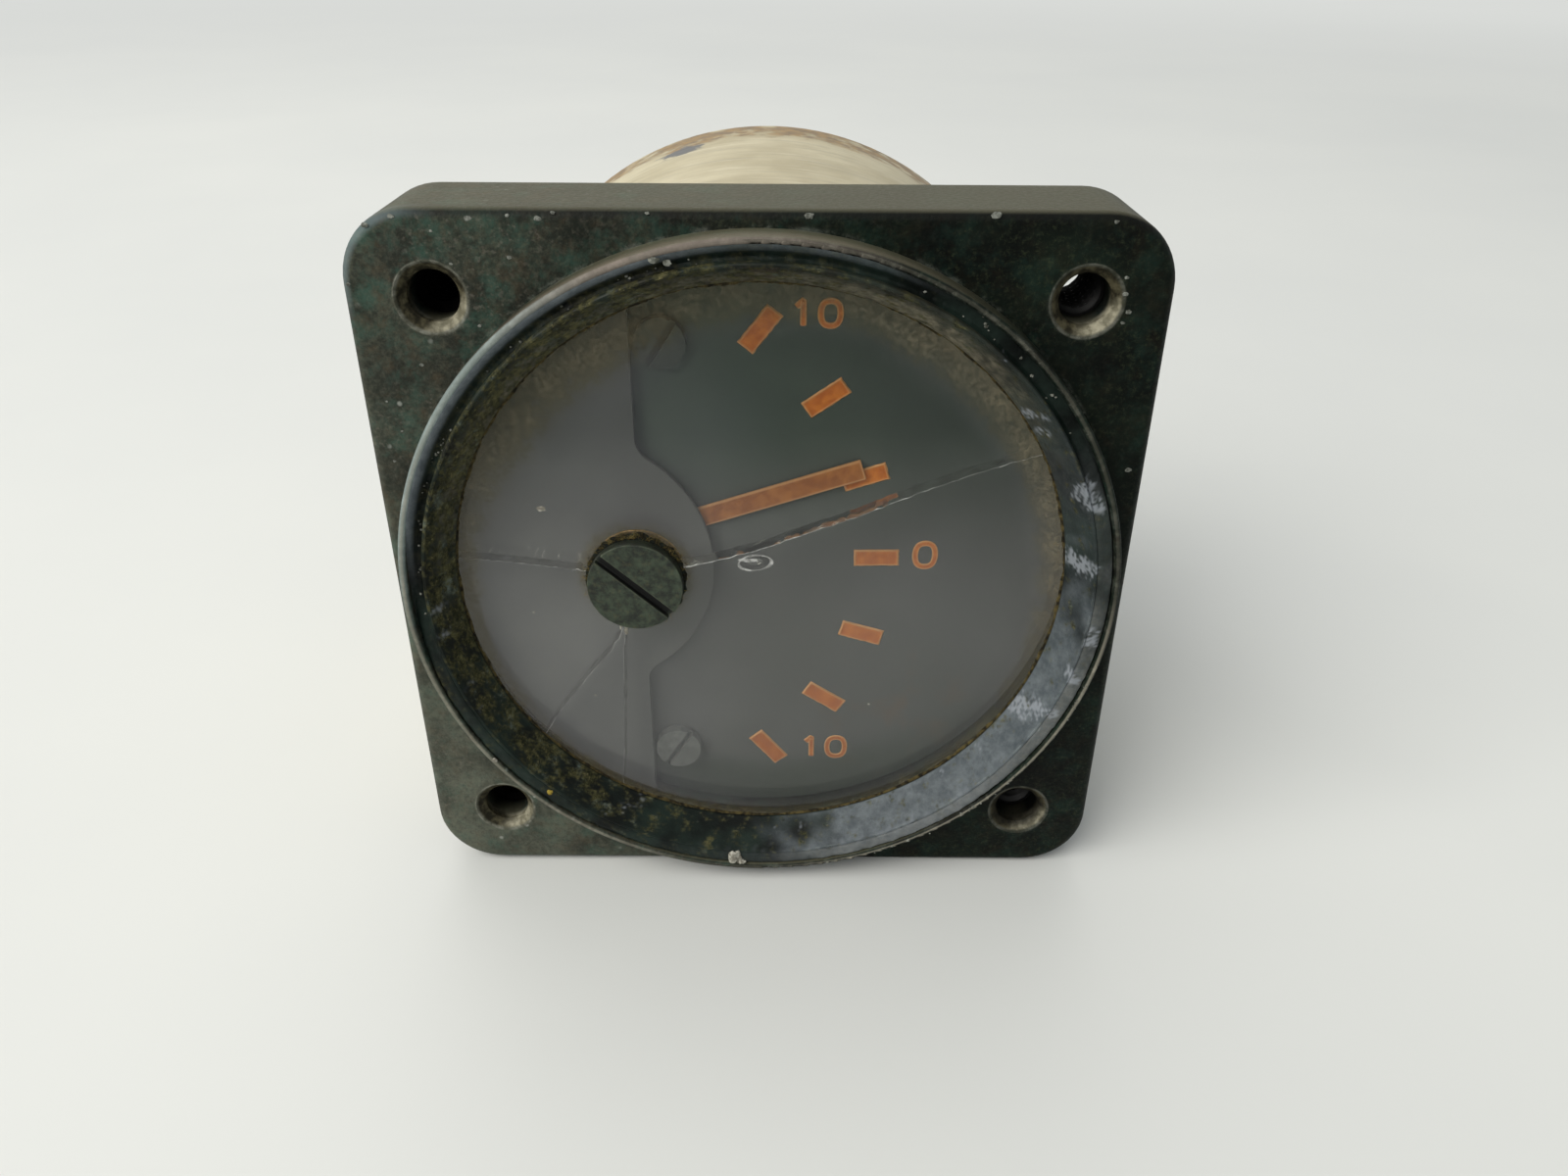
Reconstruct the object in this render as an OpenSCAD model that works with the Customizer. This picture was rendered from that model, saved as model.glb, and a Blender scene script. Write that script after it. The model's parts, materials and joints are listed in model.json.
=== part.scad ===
// Trim indicator: a square-flanged panel instrument with an off-centre moving-coil movement.
// X is to the right, Z is up and Y runs from the dial to the back of the case.
// The origin is the centre of the four screw holes, on the flange's rear face.

/* [Panel flange] */
// Side of the square flange
flange_side = 60.325; // [60.2:0.1:66]
// Thickness of the flange from its front face to the panel
flange_thick = 9.5; // [9:0.1:12]
// Radius of the flange's corners
flange_corner_r = 5.5; // [3:0.1:6.5]
// Rounding of the flange's front edges
flange_edge_r = 0.8; // [0.3:0.1:1.5]
// Distance between neighbouring screw holes
hole_pitch = 47.625; // [47.4:0.1:49]
// Radius of a screw hole
hole_r = 1.95; // [1.5:0.05:2.2]
// Widening of a screw hole at its mouth
hole_mouth = 0.75; // [0.3:0.05:0.9]
// Width of the shoulder that carries the window
shoulder_w = 1.7; // [1.4:0.05:1.9]
// Width of the web that carries the movement plate, inside the plate's edge
web_w = 3.6; // [3.4:0.05:3.9]
// Thickness of that web
web_thick = 2.2; // [1.5:0.1:2.4]
// Wall of the spigot that the case slides over
spigot_wall = 1.1; // [0.8:0.05:1.2]
// Height of the spigot behind the flange
spigot_len = 3.4; // [2.5:0.1:5]

/* [Rim and retaining ring] */
// Outer radius of the raised rim
rim_r = 28.95; // [26:0.05:31.9]
// Wall of the rim
rim_wall = 0.6; // [0.4:0.05:0.65]
// Height of the rim in front of the flange
rim_height = 2.6; // [2:0.1:3.4]
// Width of the groove between rim and ring
groove_w = 1.2; // [0.8:0.1:1.5]
// Depth of that groove
groove_depth = 1.9; // [1:0.1:2.4]
// Width of the ring's cone and crest
ring_w = 2.05; // [1.8:0.05:2.6]
// Depth of the ring's cone from its crest to the opening
ring_drop = 2.9; // [2.4:0.1:3.2]
// Thickness of the ring's lip on the window
ring_lip = 0.3; // [0.2:0.05:0.5]

/* [Window] */
// Thickness of the window
window_thick = 2.4; // [2:0.1:2.8]
// Thickness of the gasket behind the window
gasket_thick = 0.5; // [0.3:0.05:0.8]

/* [Zero adjuster] */
// Distance of the adjuster's axis to the right of the pointer's pivot
adjuster_from_pivot = 5.65; // [5.3:0.05:6]
// Radius of the slotted head
adjuster_head_r = 3.95; // [3:0.05:4.5]
// Height of the head
adjuster_head_h = 1; // [0.8:0.05:1.6]
// Radius of the shank through the window
adjuster_shank_r = 2.2; // [1.8:0.05:2.4]
// Width of the head's slot
adjuster_slot_w = 0.75; // [0.5:0.05:1.2]
// Depth of the head's slot
adjuster_slot_depth = 0.6; // [0.4:0.05:0.7]
// Slope of the head's slot
adjuster_slot_angle = -42; // [-90:1:90]
// Thickness of the sealing washer under the head
adjuster_seal = 0.2; // [0.1:0.05:0.4]
// Thickness of the spring washer behind the window
adjuster_spring = 0.25; // [0.15:0.05:0.4]
// Thickness of the crank disc
crank_thick = 0.45; // [0.35:0.05:0.6]
// Radius of the crank disc
crank_r = 3.2; // [2.8:0.1:3.6]
// Distance of the crank pin from the adjuster's axis
crank_throw = 1.2; // [0.9:0.05:1.3]
// Radius of the crank pin
crank_pin_r = 0.4; // [0.3:0.05:0.5]

/* [Dial and mask] */
// Distance of the pointer's pivot from the wall of the well at its left
pivot_from_wall = 10.4; // [10.2:0.05:10.6]
// Gap round the dial plate
dial_gap = 0.4; // [0.3:0.05:0.6]
// Thickness of the dial plate
dial_thick = 0.8; // [0.6:0.05:1.2]
// Radius of the dial's cut-out round the pivot
dial_cut_r = 11.6; // [11.5:0.05:11.7]
// Thickness of the mask plate
mask_thick = 0.5; // [0.4:0.05:0.7]
// Distance of the mask's straight edges to the right of the pivot
mask_edge_from_pivot = 5.9; // [5.7:0.05:6]
// Radius of the mask's bulge round the pivot
mask_bulge_r = 12; // [11.9:0.05:12.4]
// Radius of the inner corners between bulge and straight edges
mask_fillet_r = 2; // [1:0.1:3]
// Radius of the circle through the middle of the dial marks
mark_circle_r = 25.84; // [25.5:0.05:26]
// Length of a dial mark
mark_len = 3.85; // [3:0.05:4.2]
// Width of a dial mark
mark_w = 1.55; // [1:0.05:2]
// Depth of the pockets that hold the marks
mark_depth = 0.15; // [0.1:0.05:0.3]
// Number of dial marks
mark_count = 7; // [3:2:7]
// Angle between neighbouring marks
mark_step = 17; // [12:0.5:17]
// Slope of the middle mark
mark_middle_angle = 0.85; // [0:0.05:1]
// Distance of the dial screws to the right of the pivot
dial_screw_from_pivot = 8.2; // [8.1:0.05:8.3]
// Radius of a dial screw's head
dial_screw_head_r = 2.05; // [1.7:0.05:2.1]
// Height of a dial screw's head
dial_screw_head_h = 1; // [0.8:0.05:1.2]
// Slope of the dial screws' slots
dial_screw_slot_angle = 57; // [0:1:90]

/* [Pointer] */
// Distance from the pivot to the pointer's tip
pointer_len = 25.9; // [24:0.1:26.5]
// Width of the pointer's blade
blade_w = 1.75; // [1.2:0.05:2]
// Thickness of the pointer's blade
blade_thick = 0.3; // [0.2:0.05:0.4]
// Clearance in front of the blade and behind it
blade_gap = 0.2; // [0.15:0.05:0.4]
// Distance by which the blade is set above the line through the pivot
blade_set = 0.75; // [0.4:0.05:0.9]
// Slope of the pointer at rest
pointer_angle = 18.1; // [0:0.1:30]
// Steepest slope of the pointer, up or down
pointer_limit = 55; // [50:1:56]
// Distance from the pivot to the foot of the blade's step
step_foot_r = 9.2; // [9.1:0.05:9.4]
// Distance from the pivot to the top of the blade's step
step_top_r = 10.6; // [10.4:0.05:10.8]
// Distance from the pivot to the end of the tail
tail_len = 8.4; // [8:0.1:8.8]
// Distance from the pivot to the end of a side arm
side_arm_len = 7.2; // [6.8:0.1:7.8]

/* [Movement] */
// Thickness of the movement plate
plate_thick = 1.6; // [1.2:0.1:2]
// Outer radius of the yoke
yoke_r = 10.6; // [10.5:0.05:10.7]
// Inner radius of the yoke
yoke_bore_r = 8.9; // [8.8:0.05:9.1]
// Length of the yoke
yoke_len = 12; // [10:0.1:16]
// Distance of the yoke's lug screws from the pivot
lug_r = 13.4; // [13.3:0.05:13.6]
// Thickness of the yoke's lugs
lug_thick = 3; // [2:0.1:4]
// Radius of the core magnet
core_r = 6.4; // [5.8:0.05:6.6]
// Distance from the pivot's axis to the outer face of the coil's side
coil_half_w = 8.3; // [8.1:0.05:8.35]
// Depth of the coil across its sides
coil_depth = 4; // [3:0.1:4.2]
// Thickness of the coil's winding
winding_thick = 0.7; // [0.4:0.05:0.8]
// Thickness of the coil's former
former_thick = 0.6; // [0.3:0.05:0.65]
// Radius of the staffs
staff_r = 0.9; // [0.7:0.05:1]
// Radius of the fine pivots at the staffs' ends
pivot_r = 0.25; // [0.15:0.01:0.3]
// Radius of the jewel screws
jewel_screw_r = 1.2; // [1:0.05:1.4]
// Width of the bridges
bridge_w = 5; // [4.4:0.1:5.4]
// Thickness of the bridges
bridge_thick = 1; // [0.8:0.05:1.3]
// Thickness of the zero lever
lever_thick = 0.3; // [0.2:0.05:0.35]
// Radius of the lever's ring
lever_ring_r = 3.4; // [3.1:0.05:3.8]
// Distance from the pivot to the hairsprings' posts
spring_post_r = 5; // [4.8:0.05:5.2]
// Width of the hairsprings' strip
spring_w = 0.5; // [0.3:0.05:0.6]
// Thickness of the hairsprings' strip
spring_strip = 0.12; // [0.08:0.01:0.2]
// Turns of each hairspring
spring_turns = 4; // [2:1:5]

/* [Case] */
// Outer radius of the case
case_r = 29.25; // [26.3:0.05:32.2]
// Wall of the case
case_wall = 1; // [0.8:0.05:1.1]
// Distance from the flange's rear face to the case's rear face
case_len = 37.7; // [36:0.1:60]
// Thickness of the case's rear wall
case_base = 1.2; // [0.8:0.1:2]
// Rounding of the case's rear corner
case_corner_r = 1.6; // [1.2:0.1:3]
// Thickness of the gasket between case and flange
case_gasket_thick = 0.5; // [0.4:0.1:0.8]
// Depth of the seat for that gasket in the flange's rear face
case_seat_depth = 0.3; // [0.2:0.05:0.3]
// Distance of the case screws to the right of the flange's centre
case_screw_x = 6; // [4:0.1:8]
// Distance of the case screws above and below the centre
case_screw_z = 19.5; // [18:0.1:20]
// Radius of the case screws' heads
case_screw_head_r = 2.6; // [2:0.1:3]
// Radius of the case pillars
pillar_r = 2.5; // [2:0.1:2.8]

/* [Resistor board] */
// Distance from the movement plate to the board
board_gap = 22; // [19:0.5:23]
// Thickness of the board
board_thick = 1.5; // [1:0.1:2]
// Width of the board
board_w = 12; // [10:0.5:14]
// Radius of the series resistor
resistor_r = 2.6; // [2:0.1:3]
// Length of the series resistor
resistor_len = 18; // [12:0.5:22]

/* [Terminals] */
// Distance between the two terminal studs
terminal_pitch = 20; // [18:0.5:22]
// Radius of a terminal stud where it passes through the case
stud_r = 2; // [1.8:0.05:2.3]
// Radius of the stud's free end for the supply wire
stud_end_r = 1.75; // [1.4:0.05:1.75]
// Free length of a stud behind its nut
stud_free = 4.5; // [3:0.1:8]
// Radius of the insulating bushes' flanges
bush_r = 5; // [4.5:0.1:6]
// Thickness of the outer bushes' flanges
bush_flange = 2.2; // [1:0.1:3]
// Thickness of the terminal nuts
nut_thick = 2.6; // [2:0.1:3.2]
// Width of the terminal nuts across their flats
nut_flats = 7; // [6.4:0.1:8]

/* [Hidden] */
$fn = 96;

// Small clearances
thread_gap = 0.05;
running_gap = 0.05;
seat_gap = 0.05;
slide_gap = 0.2;

// Places along Y, from the front backwards
rim_front = -flange_thick - rim_height;
ring_crest_y = rim_front + 0.1;
ring_lip_front = ring_crest_y + ring_drop;
window_front = ring_lip_front + ring_lip;
window_back = window_front + window_thick;
shoulder_y = window_back + gasket_thick;
washer_back = window_back + adjuster_spring;
crank_back = washer_back + crank_thick;
mask_front = crank_back + slide_gap;
mask_back = mask_front + mask_thick;
blade_front = mask_back + blade_gap;
blade_back = blade_front + blade_thick;
dial_front = blade_back + blade_gap;
dial_back = dial_front + dial_thick;
lever_front = mask_back + 0.1;
lever_back = lever_front + lever_thick;
bridge_front = lever_back + running_gap;
bridge_back = bridge_front + bridge_thick;
front_spring_y = bridge_back + 0.3;
root_front = front_spring_y + spring_w + 0.25;
root_back = root_front + 0.4;
coil_front = root_back + 0.55;
yoke_front = plate_thick;
yoke_back = yoke_front + yoke_len;
former_front = coil_front + winding_thick;
coil_back = yoke_back + former_thick + winding_thick + 0.8;
former_back = coil_back - winding_thick;
rear_spring_y = coil_back + 0.6;
rear_bridge_front = rear_spring_y + spring_w + 0.4;
rear_bridge_back = rear_bridge_front + bridge_thick;
case_front = case_gasket_thick - case_seat_depth;
case_inside = case_len - case_base;
board_front = plate_thick + board_gap;
board_back = board_front + board_thick;
groove_floor = rim_front + groove_depth;

// Radii and other sizes that follow from the ones above
post_r = 1.7;
rim_bore_r = rim_r - rim_wall;
ring_thread_r = rim_bore_r - thread_gap;
ring_crest_r = rim_bore_r - groove_w;
ring_bore_r = ring_crest_r - ring_w;
window_r = ring_thread_r - slide_gap;
well_r = window_r - shoulder_w;
dial_r = well_r - dial_gap;
case_bore_r = case_r - case_wall;
spigot_r = case_bore_r - 0.25;
plate_r = spigot_r - spigot_wall - 0.1;
web_bore_r = plate_r - web_w;
pivot_x = min(well_r - pivot_from_wall, plate_r - yoke_r - slide_gap);
adjuster_x = pivot_x - adjuster_from_pivot;
mask_edge_x = pivot_x - mask_edge_from_pivot;
dial_screw_x = pivot_x - dial_screw_from_pivot;
dial_screw_z = sqrt(pow(web_bore_r - post_r - 0.6, 2) - pow(dial_screw_x, 2));
shank_hole_r = adjuster_shank_r + running_gap;
tenon_r = 0.5 * adjuster_shank_r;
crank_pin_x = crank_throw - adjuster_x;
fork_slot_w = 2 * (crank_pin_r + 0.12);
pivot = [-pivot_x, 0];
head_h = 0.7;
plate_screw_head_r = 1.7;
small_screw_r = 0.8;
small_head_r = 1.4;
small_countersink = 0.6;
core_screw_depth = 1.5;
spacer_r = 1.5;
front_pillar_r = bridge_w / 2 - 0.6;
rear_pillar_r = 1.7;
spring_arm_w = 2.4;
bridge_screw_len = 2.6;
bridge_screw_hole = 3;
case_screw_len = 3.5;
pillar_stud_len = 2.5;
case_screw_head_h = 1.5;
case_screw_shank_r = 1.2;
case_washer_thick = 0.4;
tag_w = 2;
tag_reach = 5;
staff_base_r = 1.7;
small_pin_r = 0.4;
collet_r = staff_r + 0.3;
spring_inner_r = collet_r + spring_strip / 2 + 0.02;
spring_outer_r = spring_post_r - small_pin_r - spring_strip / 2 - 0.03;
coil_inner_half_w = coil_half_w - winding_thick;
coil_room_r = coil_half_w + 0.7;
weight_r = 0.9;
tail_weight_r = 1.3;
weight_h = 0.7;
stop_pin_r = 0.6;
stop_reach = step_foot_r + 0.7;
plate_screw_r = plate_r - plate_screw_head_r - slide_gap;
plate_screw_angles = [0, 100, 260];
post_tenon_r = 1.1;
dial_shank_r = 1;
dial_shank_len = 1.8;
mask_shank_r = 0.6;
bush_small_r = 1.3;
mask_bush_angle = 125;
mask_bush_places = [for (a = [mask_bush_angle, -mask_bush_angle])
    (dial_r - bush_small_r - 0.9) * [cos(a), sin(a)]];
case_screw_places = [[case_screw_x, case_screw_z], [case_screw_x, -case_screw_z]];
dial_screw_places = [[-dial_screw_x, dial_screw_z], [-dial_screw_x, -dial_screw_z]];
lug_places = [[-pivot_x, lug_r], [-pivot_x, -lug_r]];
terminal_places = [[-terminal_pitch / 2, 0], [terminal_pitch / 2, 0]];
bush_spigot_r = stud_r + 1.2;
insulator_thick = 1.5;
washer_thick = 0.6;
tag_thick = 0.4;
nut_r = nut_flats / sqrt(3);
bush_back = case_len + bush_flange;
outer_nut_front = bush_back + washer_thick;
outer_nut_back = outer_nut_front + nut_thick;
stud_back = outer_nut_back + stud_free;
insulator_front = case_inside - insulator_thick;
inner_nut_back = insulator_front - washer_thick - tag_thick;
inner_nut_front = inner_nut_back - nut_thick;
stud_front = inner_nut_front - 1.2;
lead_r = 0.45;
resistor_leg_z = resistor_len / 2 + 1.2;
resistor_leg_r = 0.35;
resistor_leg_end = 0.6;
spring_post_end = 0.5;

// A round bar along Y from y0 to y1, at [x, z]
module bar(r, y0, y1, at = [0, 0]) {
    translate([at[0], y1, at[1]]) rotate([90, 0, 0]) cylinder(r = r, h = y1 - y0);
}

// A turned piece from its profile of [radius, y] points, at [x, z]
module turned(profile, at = [0, 0]) {
    translate([at[0], 0, at[1]]) rotate([90, 0, 0])
        rotate_extrude() polygon([for (p = profile) [p[0], -p[1]]]);
}

// A washer or tube along Y
module tube(r_out, r_in, y0, y1, at = [0, 0]) {
    difference() {
        bar(r_out, y0, y1, at);
        bar(r_in, y0 - 1, y1 + 1, at);
    }
}

// A flat piece from an outline drawn as seen from the front, from y0 to y1
module flat(y0, y1) {
    translate([0, y1, 0]) rotate([90, 0, 0]) linear_extrude(y1 - y0) children();
}

// Children turned with the pointer's slope at rest, about the pivot
module at_pointer_rest() {
    translate([-pivot_x, 0, 0]) rotate([0, -pointer_angle, 0]) children();
}

// A rounded square with true arcs
module round_square(side, r) {
    square([side - 2 * r, side], center = true);
    square([side, side - 2 * r], center = true);
    for (x = [-1, 1], z = [-1, 1]) translate([x, z] * (side / 2 - r)) circle(r);
}

// A screw from the front: slotted cheese head in front of seat_y, shank behind it
module cheese_screw(head_r, head_h, shank_r, seat_y, tip_y, at, slot_angle) {
    difference() {
        bar(head_r, seat_y - head_h, seat_y, at);
        translate([at[0], seat_y - head_h, at[1]]) rotate([0, -slot_angle, 0])
            cube([3 * head_r, head_h, 0.25 * head_r], center = true);
    }
    bar(shank_r, seat_y, tip_y, at);
}

// The same screw from the rear: head behind seat_y, shank in front of it
module rear_screw(head_r, head_h, shank_r, seat_y, tip_y, at, slot_angle) {
    difference() {
        bar(head_r, seat_y, seat_y + head_h, at);
        translate([at[0], seat_y + head_h, at[1]]) rotate([0, -slot_angle, 0])
            cube([3 * head_r, head_h, 0.25 * head_r], center = true);
    }
    bar(shank_r, tip_y, seat_y, at);
}

// Outline of a bridge, a flat bar with round ends over the two lug screws, with a margin round it
module bridge_outline(margin = 0) {
    translate(pivot) square([bridge_w + 2 * margin, 2 * lug_r], center = true);
    for (p = lug_places) translate(p) circle(bridge_w / 2 - 0.5 + margin);
}

// Strip of a hairspring, wound from the collet out to its post at the left
function spiral(r0, r1, turns, a1, n = 24) = [
    for (i = [0 : n * turns])
        let (t = i / (n * turns), r = r0 + t * (r1 - r0), a = a1 - 360 * turns * (1 - t))
            r * [cos(a), sin(a)]
];
module hairspring(y0, a1) {
    inner = spiral(spring_inner_r - spring_strip / 2, spring_outer_r - spring_strip / 2,
        spring_turns, a1);
    outer = spiral(spring_inner_r + spring_strip / 2, spring_outer_r + spring_strip / 2,
        spring_turns, a1);
    count = len(inner);
    flat(y0, y0 + spring_w) translate(pivot)
        polygon(concat(inner, [for (i = [1 : count]) outer[count - i]]));
}

// Points of a route with its corners cut twice, its ends kept
function cut_corners(route, times) = times == 0 ? route : cut_corners([
    route[0],
    for (i = [1 : len(route) - 1]) each [
        0.75 * route[i - 1] + 0.25 * route[i], 0.25 * route[i - 1] + 0.75 * route[i]],
    route[len(route) - 1]], times - 1);

// One direction across the wire for each point, carried along without twisting
function across(along, side, i = 0) = i == len(along) ? [] :
    let (flat_side = side - (side * along[i]) * along[i], unit_side = flat_side / norm(flat_side))
        concat([unit_side], across(along, unit_side, i + 1));

// An insulated wire with eight sides, swept along a route
module lead(route) {
    sides = 8;
    points = cut_corners(route, 2);
    last = len(points) - 1;
    along = [for (i = [0 : last])
        let (run = points[min(i + 1, last)] - points[max(i - 1, 0)]) run / norm(run)];
    side = across(along, [0.2, 0.1, 1]);
    rings = [for (i = [0 : last], k = [0 : sides - 1])
        points[i] + lead_r * (cos(360 * k / sides) * side[i]
            + sin(360 * k / sides) * cross(along[i], side[i]))];
    polyhedron(rings, concat(
        [[for (k = [0 : sides - 1]) k]],
        [[for (k = [sides - 1 : -1 : 0]) last * sides + k]],
        [for (i = [0 : last - 1], k = [0 : sides - 1])
            let (next = (k + 1) % sides, a = i * sides, b = a + sides)
                each [[a + k, b + k, b + next], [a + k, b + next, a + next]]]));
}

// Slab of the flange, with rounded front edges and corners
module flange_slab() {
    e = flange_edge_r;
    half = flange_side / 2;
    straight = flange_side - 2 * flange_corner_r;
    flat(e - flange_thick, 0) round_square(flange_side, flange_corner_r);
    flat(-flange_thick, 0) round_square(flange_side - 2 * e, flange_corner_r - e);
    for (s = [-1, 1]) {
        translate([-straight / 2, e - flange_thick, s * (half - e)]) rotate([0, 90, 0])
            cylinder(r = e, h = straight);
        translate([s * (half - e), e - flange_thick, -straight / 2])
            cylinder(r = e, h = straight);
    }
    for (x = [-1, 1], z = [-1, 1])
        translate([x * (half - flange_corner_r), e - flange_thick, z * (half - flange_corner_r)])
            rotate([90, 0, 0]) rotate_extrude() translate([flange_corner_r - e, 0])
                intersection() {
                    circle(e);
                    translate([-e / 2, 0]) square([3 * e, 2 * e], center = true);
                }
}

// Flange casting with its rim, bores, screw holes and spigot
module bezel_flange() color("#23282A") {
    crest_r = rim_wall / 2;
    difference() {
        union() {
            flange_slab();
            bar(rim_r, rim_front + crest_r, 0);
            translate([0, rim_front + crest_r, 0]) rotate([90, 0, 0]) rotate_extrude()
                translate([rim_r - crest_r, 0]) circle(crest_r);
            bar(spigot_r, -1, spigot_len);
        }
        bar(rim_bore_r, rim_front - 1, shoulder_y);
        bar(well_r, shoulder_y - 1, -web_thick);
        bar(web_bore_r, -web_thick - 1, 1);
        bar(coil_room_r, -web_thick - 1, 1, pivot);
        bar(spigot_r - spigot_wall, 0, spigot_len + 1);
        tube(case_r + 0.1, spigot_r, -case_seat_depth, spigot_len + 1);
        for (p = lug_places) bar(front_pillar_r + slide_gap, -web_thick - 1, 1, p);
        for (p = dial_screw_places) bar(post_r + slide_gap, -web_thick - 1, 1, p);
        for (x = [-1, 1], z = [-1, 1]) {
            at = [x, z] * hole_pitch / 2;
            bar(hole_r, -flange_thick - 1, 1, at);
            translate([at[0], hole_mouth - flange_thick, at[1]]) rotate([90, 0, 0])
                cylinder(r1 = hole_r, r2 = hole_r + 2 * hole_mouth, h = 2 * hole_mouth);
        }
        for (a = plate_screw_angles)
            bar(small_screw_r + running_gap, 0.4 - web_thick, 1,
                plate_screw_r * [cos(a), sin(a)]);
    }
}

// Retaining ring: thread at the rear, narrow crest and a cone down to the window
module retaining_ring() color("#2B3236") {
    turned([
        [ring_bore_r, ring_lip_front], [ring_bore_r, window_front], [ring_thread_r, window_front],
        [ring_thread_r, groove_floor], [ring_crest_r, groove_floor],
        [ring_crest_r, ring_crest_y + 0.25], [ring_crest_r - 0.1, ring_crest_y],
        [ring_crest_r - 0.3, ring_crest_y]
    ]);
}

// Window disc with the adjuster's hole
module window() color("#8A8F8E", 0.4) {
    difference() {
        bar(window_r, window_front, window_back);
        bar(shank_hole_r, window_front - 1, window_back + 1, [-adjuster_x, 0]);
    }
}

// Rubber ring between the window and the flange's shoulder
module window_gasket() color("#202020") {
    tube(window_r, well_r + 0.1, window_back, shoulder_y);
}

// Slotted head and shank of the zero adjuster
module zero_adjuster() color("#1D2220") {
    at = [-adjuster_x, 0];
    seat = window_front - adjuster_seal;
    difference() {
        bar(adjuster_head_r, seat - adjuster_head_h, seat, at);
        translate([at[0], seat - adjuster_head_h, at[1]]) rotate([0, -adjuster_slot_angle, 0])
            cube([3 * adjuster_head_r, 2 * adjuster_slot_depth, adjuster_slot_w], center = true);
    }
    bar(adjuster_shank_r, seat, washer_back, at);
    bar(tenon_r, washer_back, crank_back, at);
}

// Sealing washer under the adjuster's head
module adjuster_gasket() color("#5A4630") {
    tube(adjuster_head_r - 0.3, shank_hole_r, window_front - adjuster_seal, window_front,
        [-adjuster_x, 0]);
}

// Spring washer between the window and the crank
module adjuster_washer() color("#B0A070") {
    tube(adjuster_head_r, shank_hole_r, window_back, washer_back, [-adjuster_x, 0]);
}

// Crank disc on the adjuster's tenon, with the eccentric pin
module adjuster_crank() color("#C8A850") {
    tube(crank_r, tenon_r + 0.02, washer_back, crank_back, [-adjuster_x, 0]);
    bar(crank_pin_r, crank_back, lever_back, [crank_pin_x, 0]);
}

// Outline of the mask: straight edges, bulge round the pivot and rounded inner corners
module mask_outline() {
    intersection() {
        circle(dial_r);
        offset(r = -mask_fillet_r) offset(delta = mask_fillet_r) {
            translate([-mask_edge_x - dial_r, -dial_r]) square([dial_r, 2 * dial_r]);
            translate(pivot) circle(mask_bulge_r);
        }
    }
}

// Mask plate with a hole for the crank pin
module mask_plate() color("#4E4E50") {
    flat(mask_front, mask_back) difference() {
        mask_outline();
        translate([-adjuster_x, 0]) circle(crank_throw + crank_pin_r + 0.3);
    }
}

// Tapped bushes that hold the mask in front of the dial
module mask_bushes() color("#B09850") {
    for (p = mask_bush_places)
        tube(bush_small_r, mask_shank_r + thread_gap, mask_back, dial_front, p);
}

// Screws from behind the dial into the mask's bushes
module mask_screws() color("#B0A070") {
    for (p = mask_bush_places)
        rear_screw(small_head_r, head_h, mask_shank_r, dial_back, mask_back, p, 30);
}

// The dial marks as boxes between two depths, grown by a clearance
module mark_boxes(y0, y1, grow) {
    for (i = [0 : mark_count - 1]) {
        a = mark_middle_angle + (i - (mark_count - 1) / 2) * mark_step;
        flat(y0, y1) translate(pivot) rotate(a) translate([mark_circle_r, 0])
            square([mark_len + grow, mark_w + grow], center = true);
    }
}

// Dial plate with its cut-out, mark pockets and screw holes
module dial_plate() color("#4B4C4F") {
    difference() {
        flat(dial_front, dial_back) difference() {
            circle(dial_r);
            translate(pivot) circle(dial_cut_r);
            bridge_outline(0.8);
            for (p = mask_bush_places) translate(p) circle(mask_shank_r + thread_gap);
            for (p = dial_screw_places) translate(p) circle(dial_shank_r + thread_gap);
        }
        mark_boxes(dial_front - 1, dial_front + mark_depth, 0.04);
    }
}

// Orange marks that fill the dial's pockets
module dial_marks() color("#B8763A") {
    mark_boxes(dial_front, dial_front + mark_depth, 0);
}

// Two slotted screws that hold the dial on its posts
module dial_screws() color("#55575A") {
    for (p = dial_screw_places)
        cheese_screw(dial_screw_head_r, dial_screw_head_h, dial_shank_r, dial_front,
            dial_back + dial_shank_len, p, dial_screw_slot_angle);
}

// Two posts from the movement plate to the dial
module dial_posts() color("#B09850") {
    for (p = dial_screw_places) difference() {
        union() {
            bar(post_r, dial_back, 0, p);
            bar(post_tenon_r, 0, plate_thick, p);
        }
        bar(dial_shank_r + thread_gap, dial_back - 1, dial_back + dial_shank_len + 0.2, p);
    }
}

// Pointer: root arm behind the front bridge, step forward and blade in front of the dial
module pointer() color("#B8763A") {
    step_shift = blade_thick / 2;
    side = [
        [0, root_front], [step_foot_r, root_front], [step_top_r, blade_front],
        [pointer_len, blade_front], [pointer_len, blade_back],
        [step_top_r + step_shift, blade_back], [step_foot_r + step_shift, root_back],
        [0, root_back]
    ];
    at_pointer_rest() difference() {
        union() {
            translate([0, 0, blade_set - blade_w / 2]) linear_extrude(blade_w) polygon(side);
            flat(root_front, root_back) {
                circle(staff_base_r + 0.5);
                translate([-tail_len, -0.6]) square([tail_len, 1.2]);
                for (s = [-1, 1]) translate([-0.4, s > 0 ? 0 : -side_arm_len])
                    square([0.8, side_arm_len]);
                translate([0, blade_set - blade_w / 2]) square([4, blade_w]);
            }
        }
        bar(staff_r + 0.02, root_front - 1, root_back + 1);
    }
}

// Balance weights on the pointer's tail and side arms
module balance_weights() color("#C8A850") {
    at_pointer_rest() {
        bar(tail_weight_r, root_front - weight_h, root_front, [tail_weight_r - tail_len, 0]);
        for (s = [-1, 1])
            bar(weight_r, root_front - weight_h, root_front, [0, s * (side_arm_len - weight_r)]);
    }
}

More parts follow.
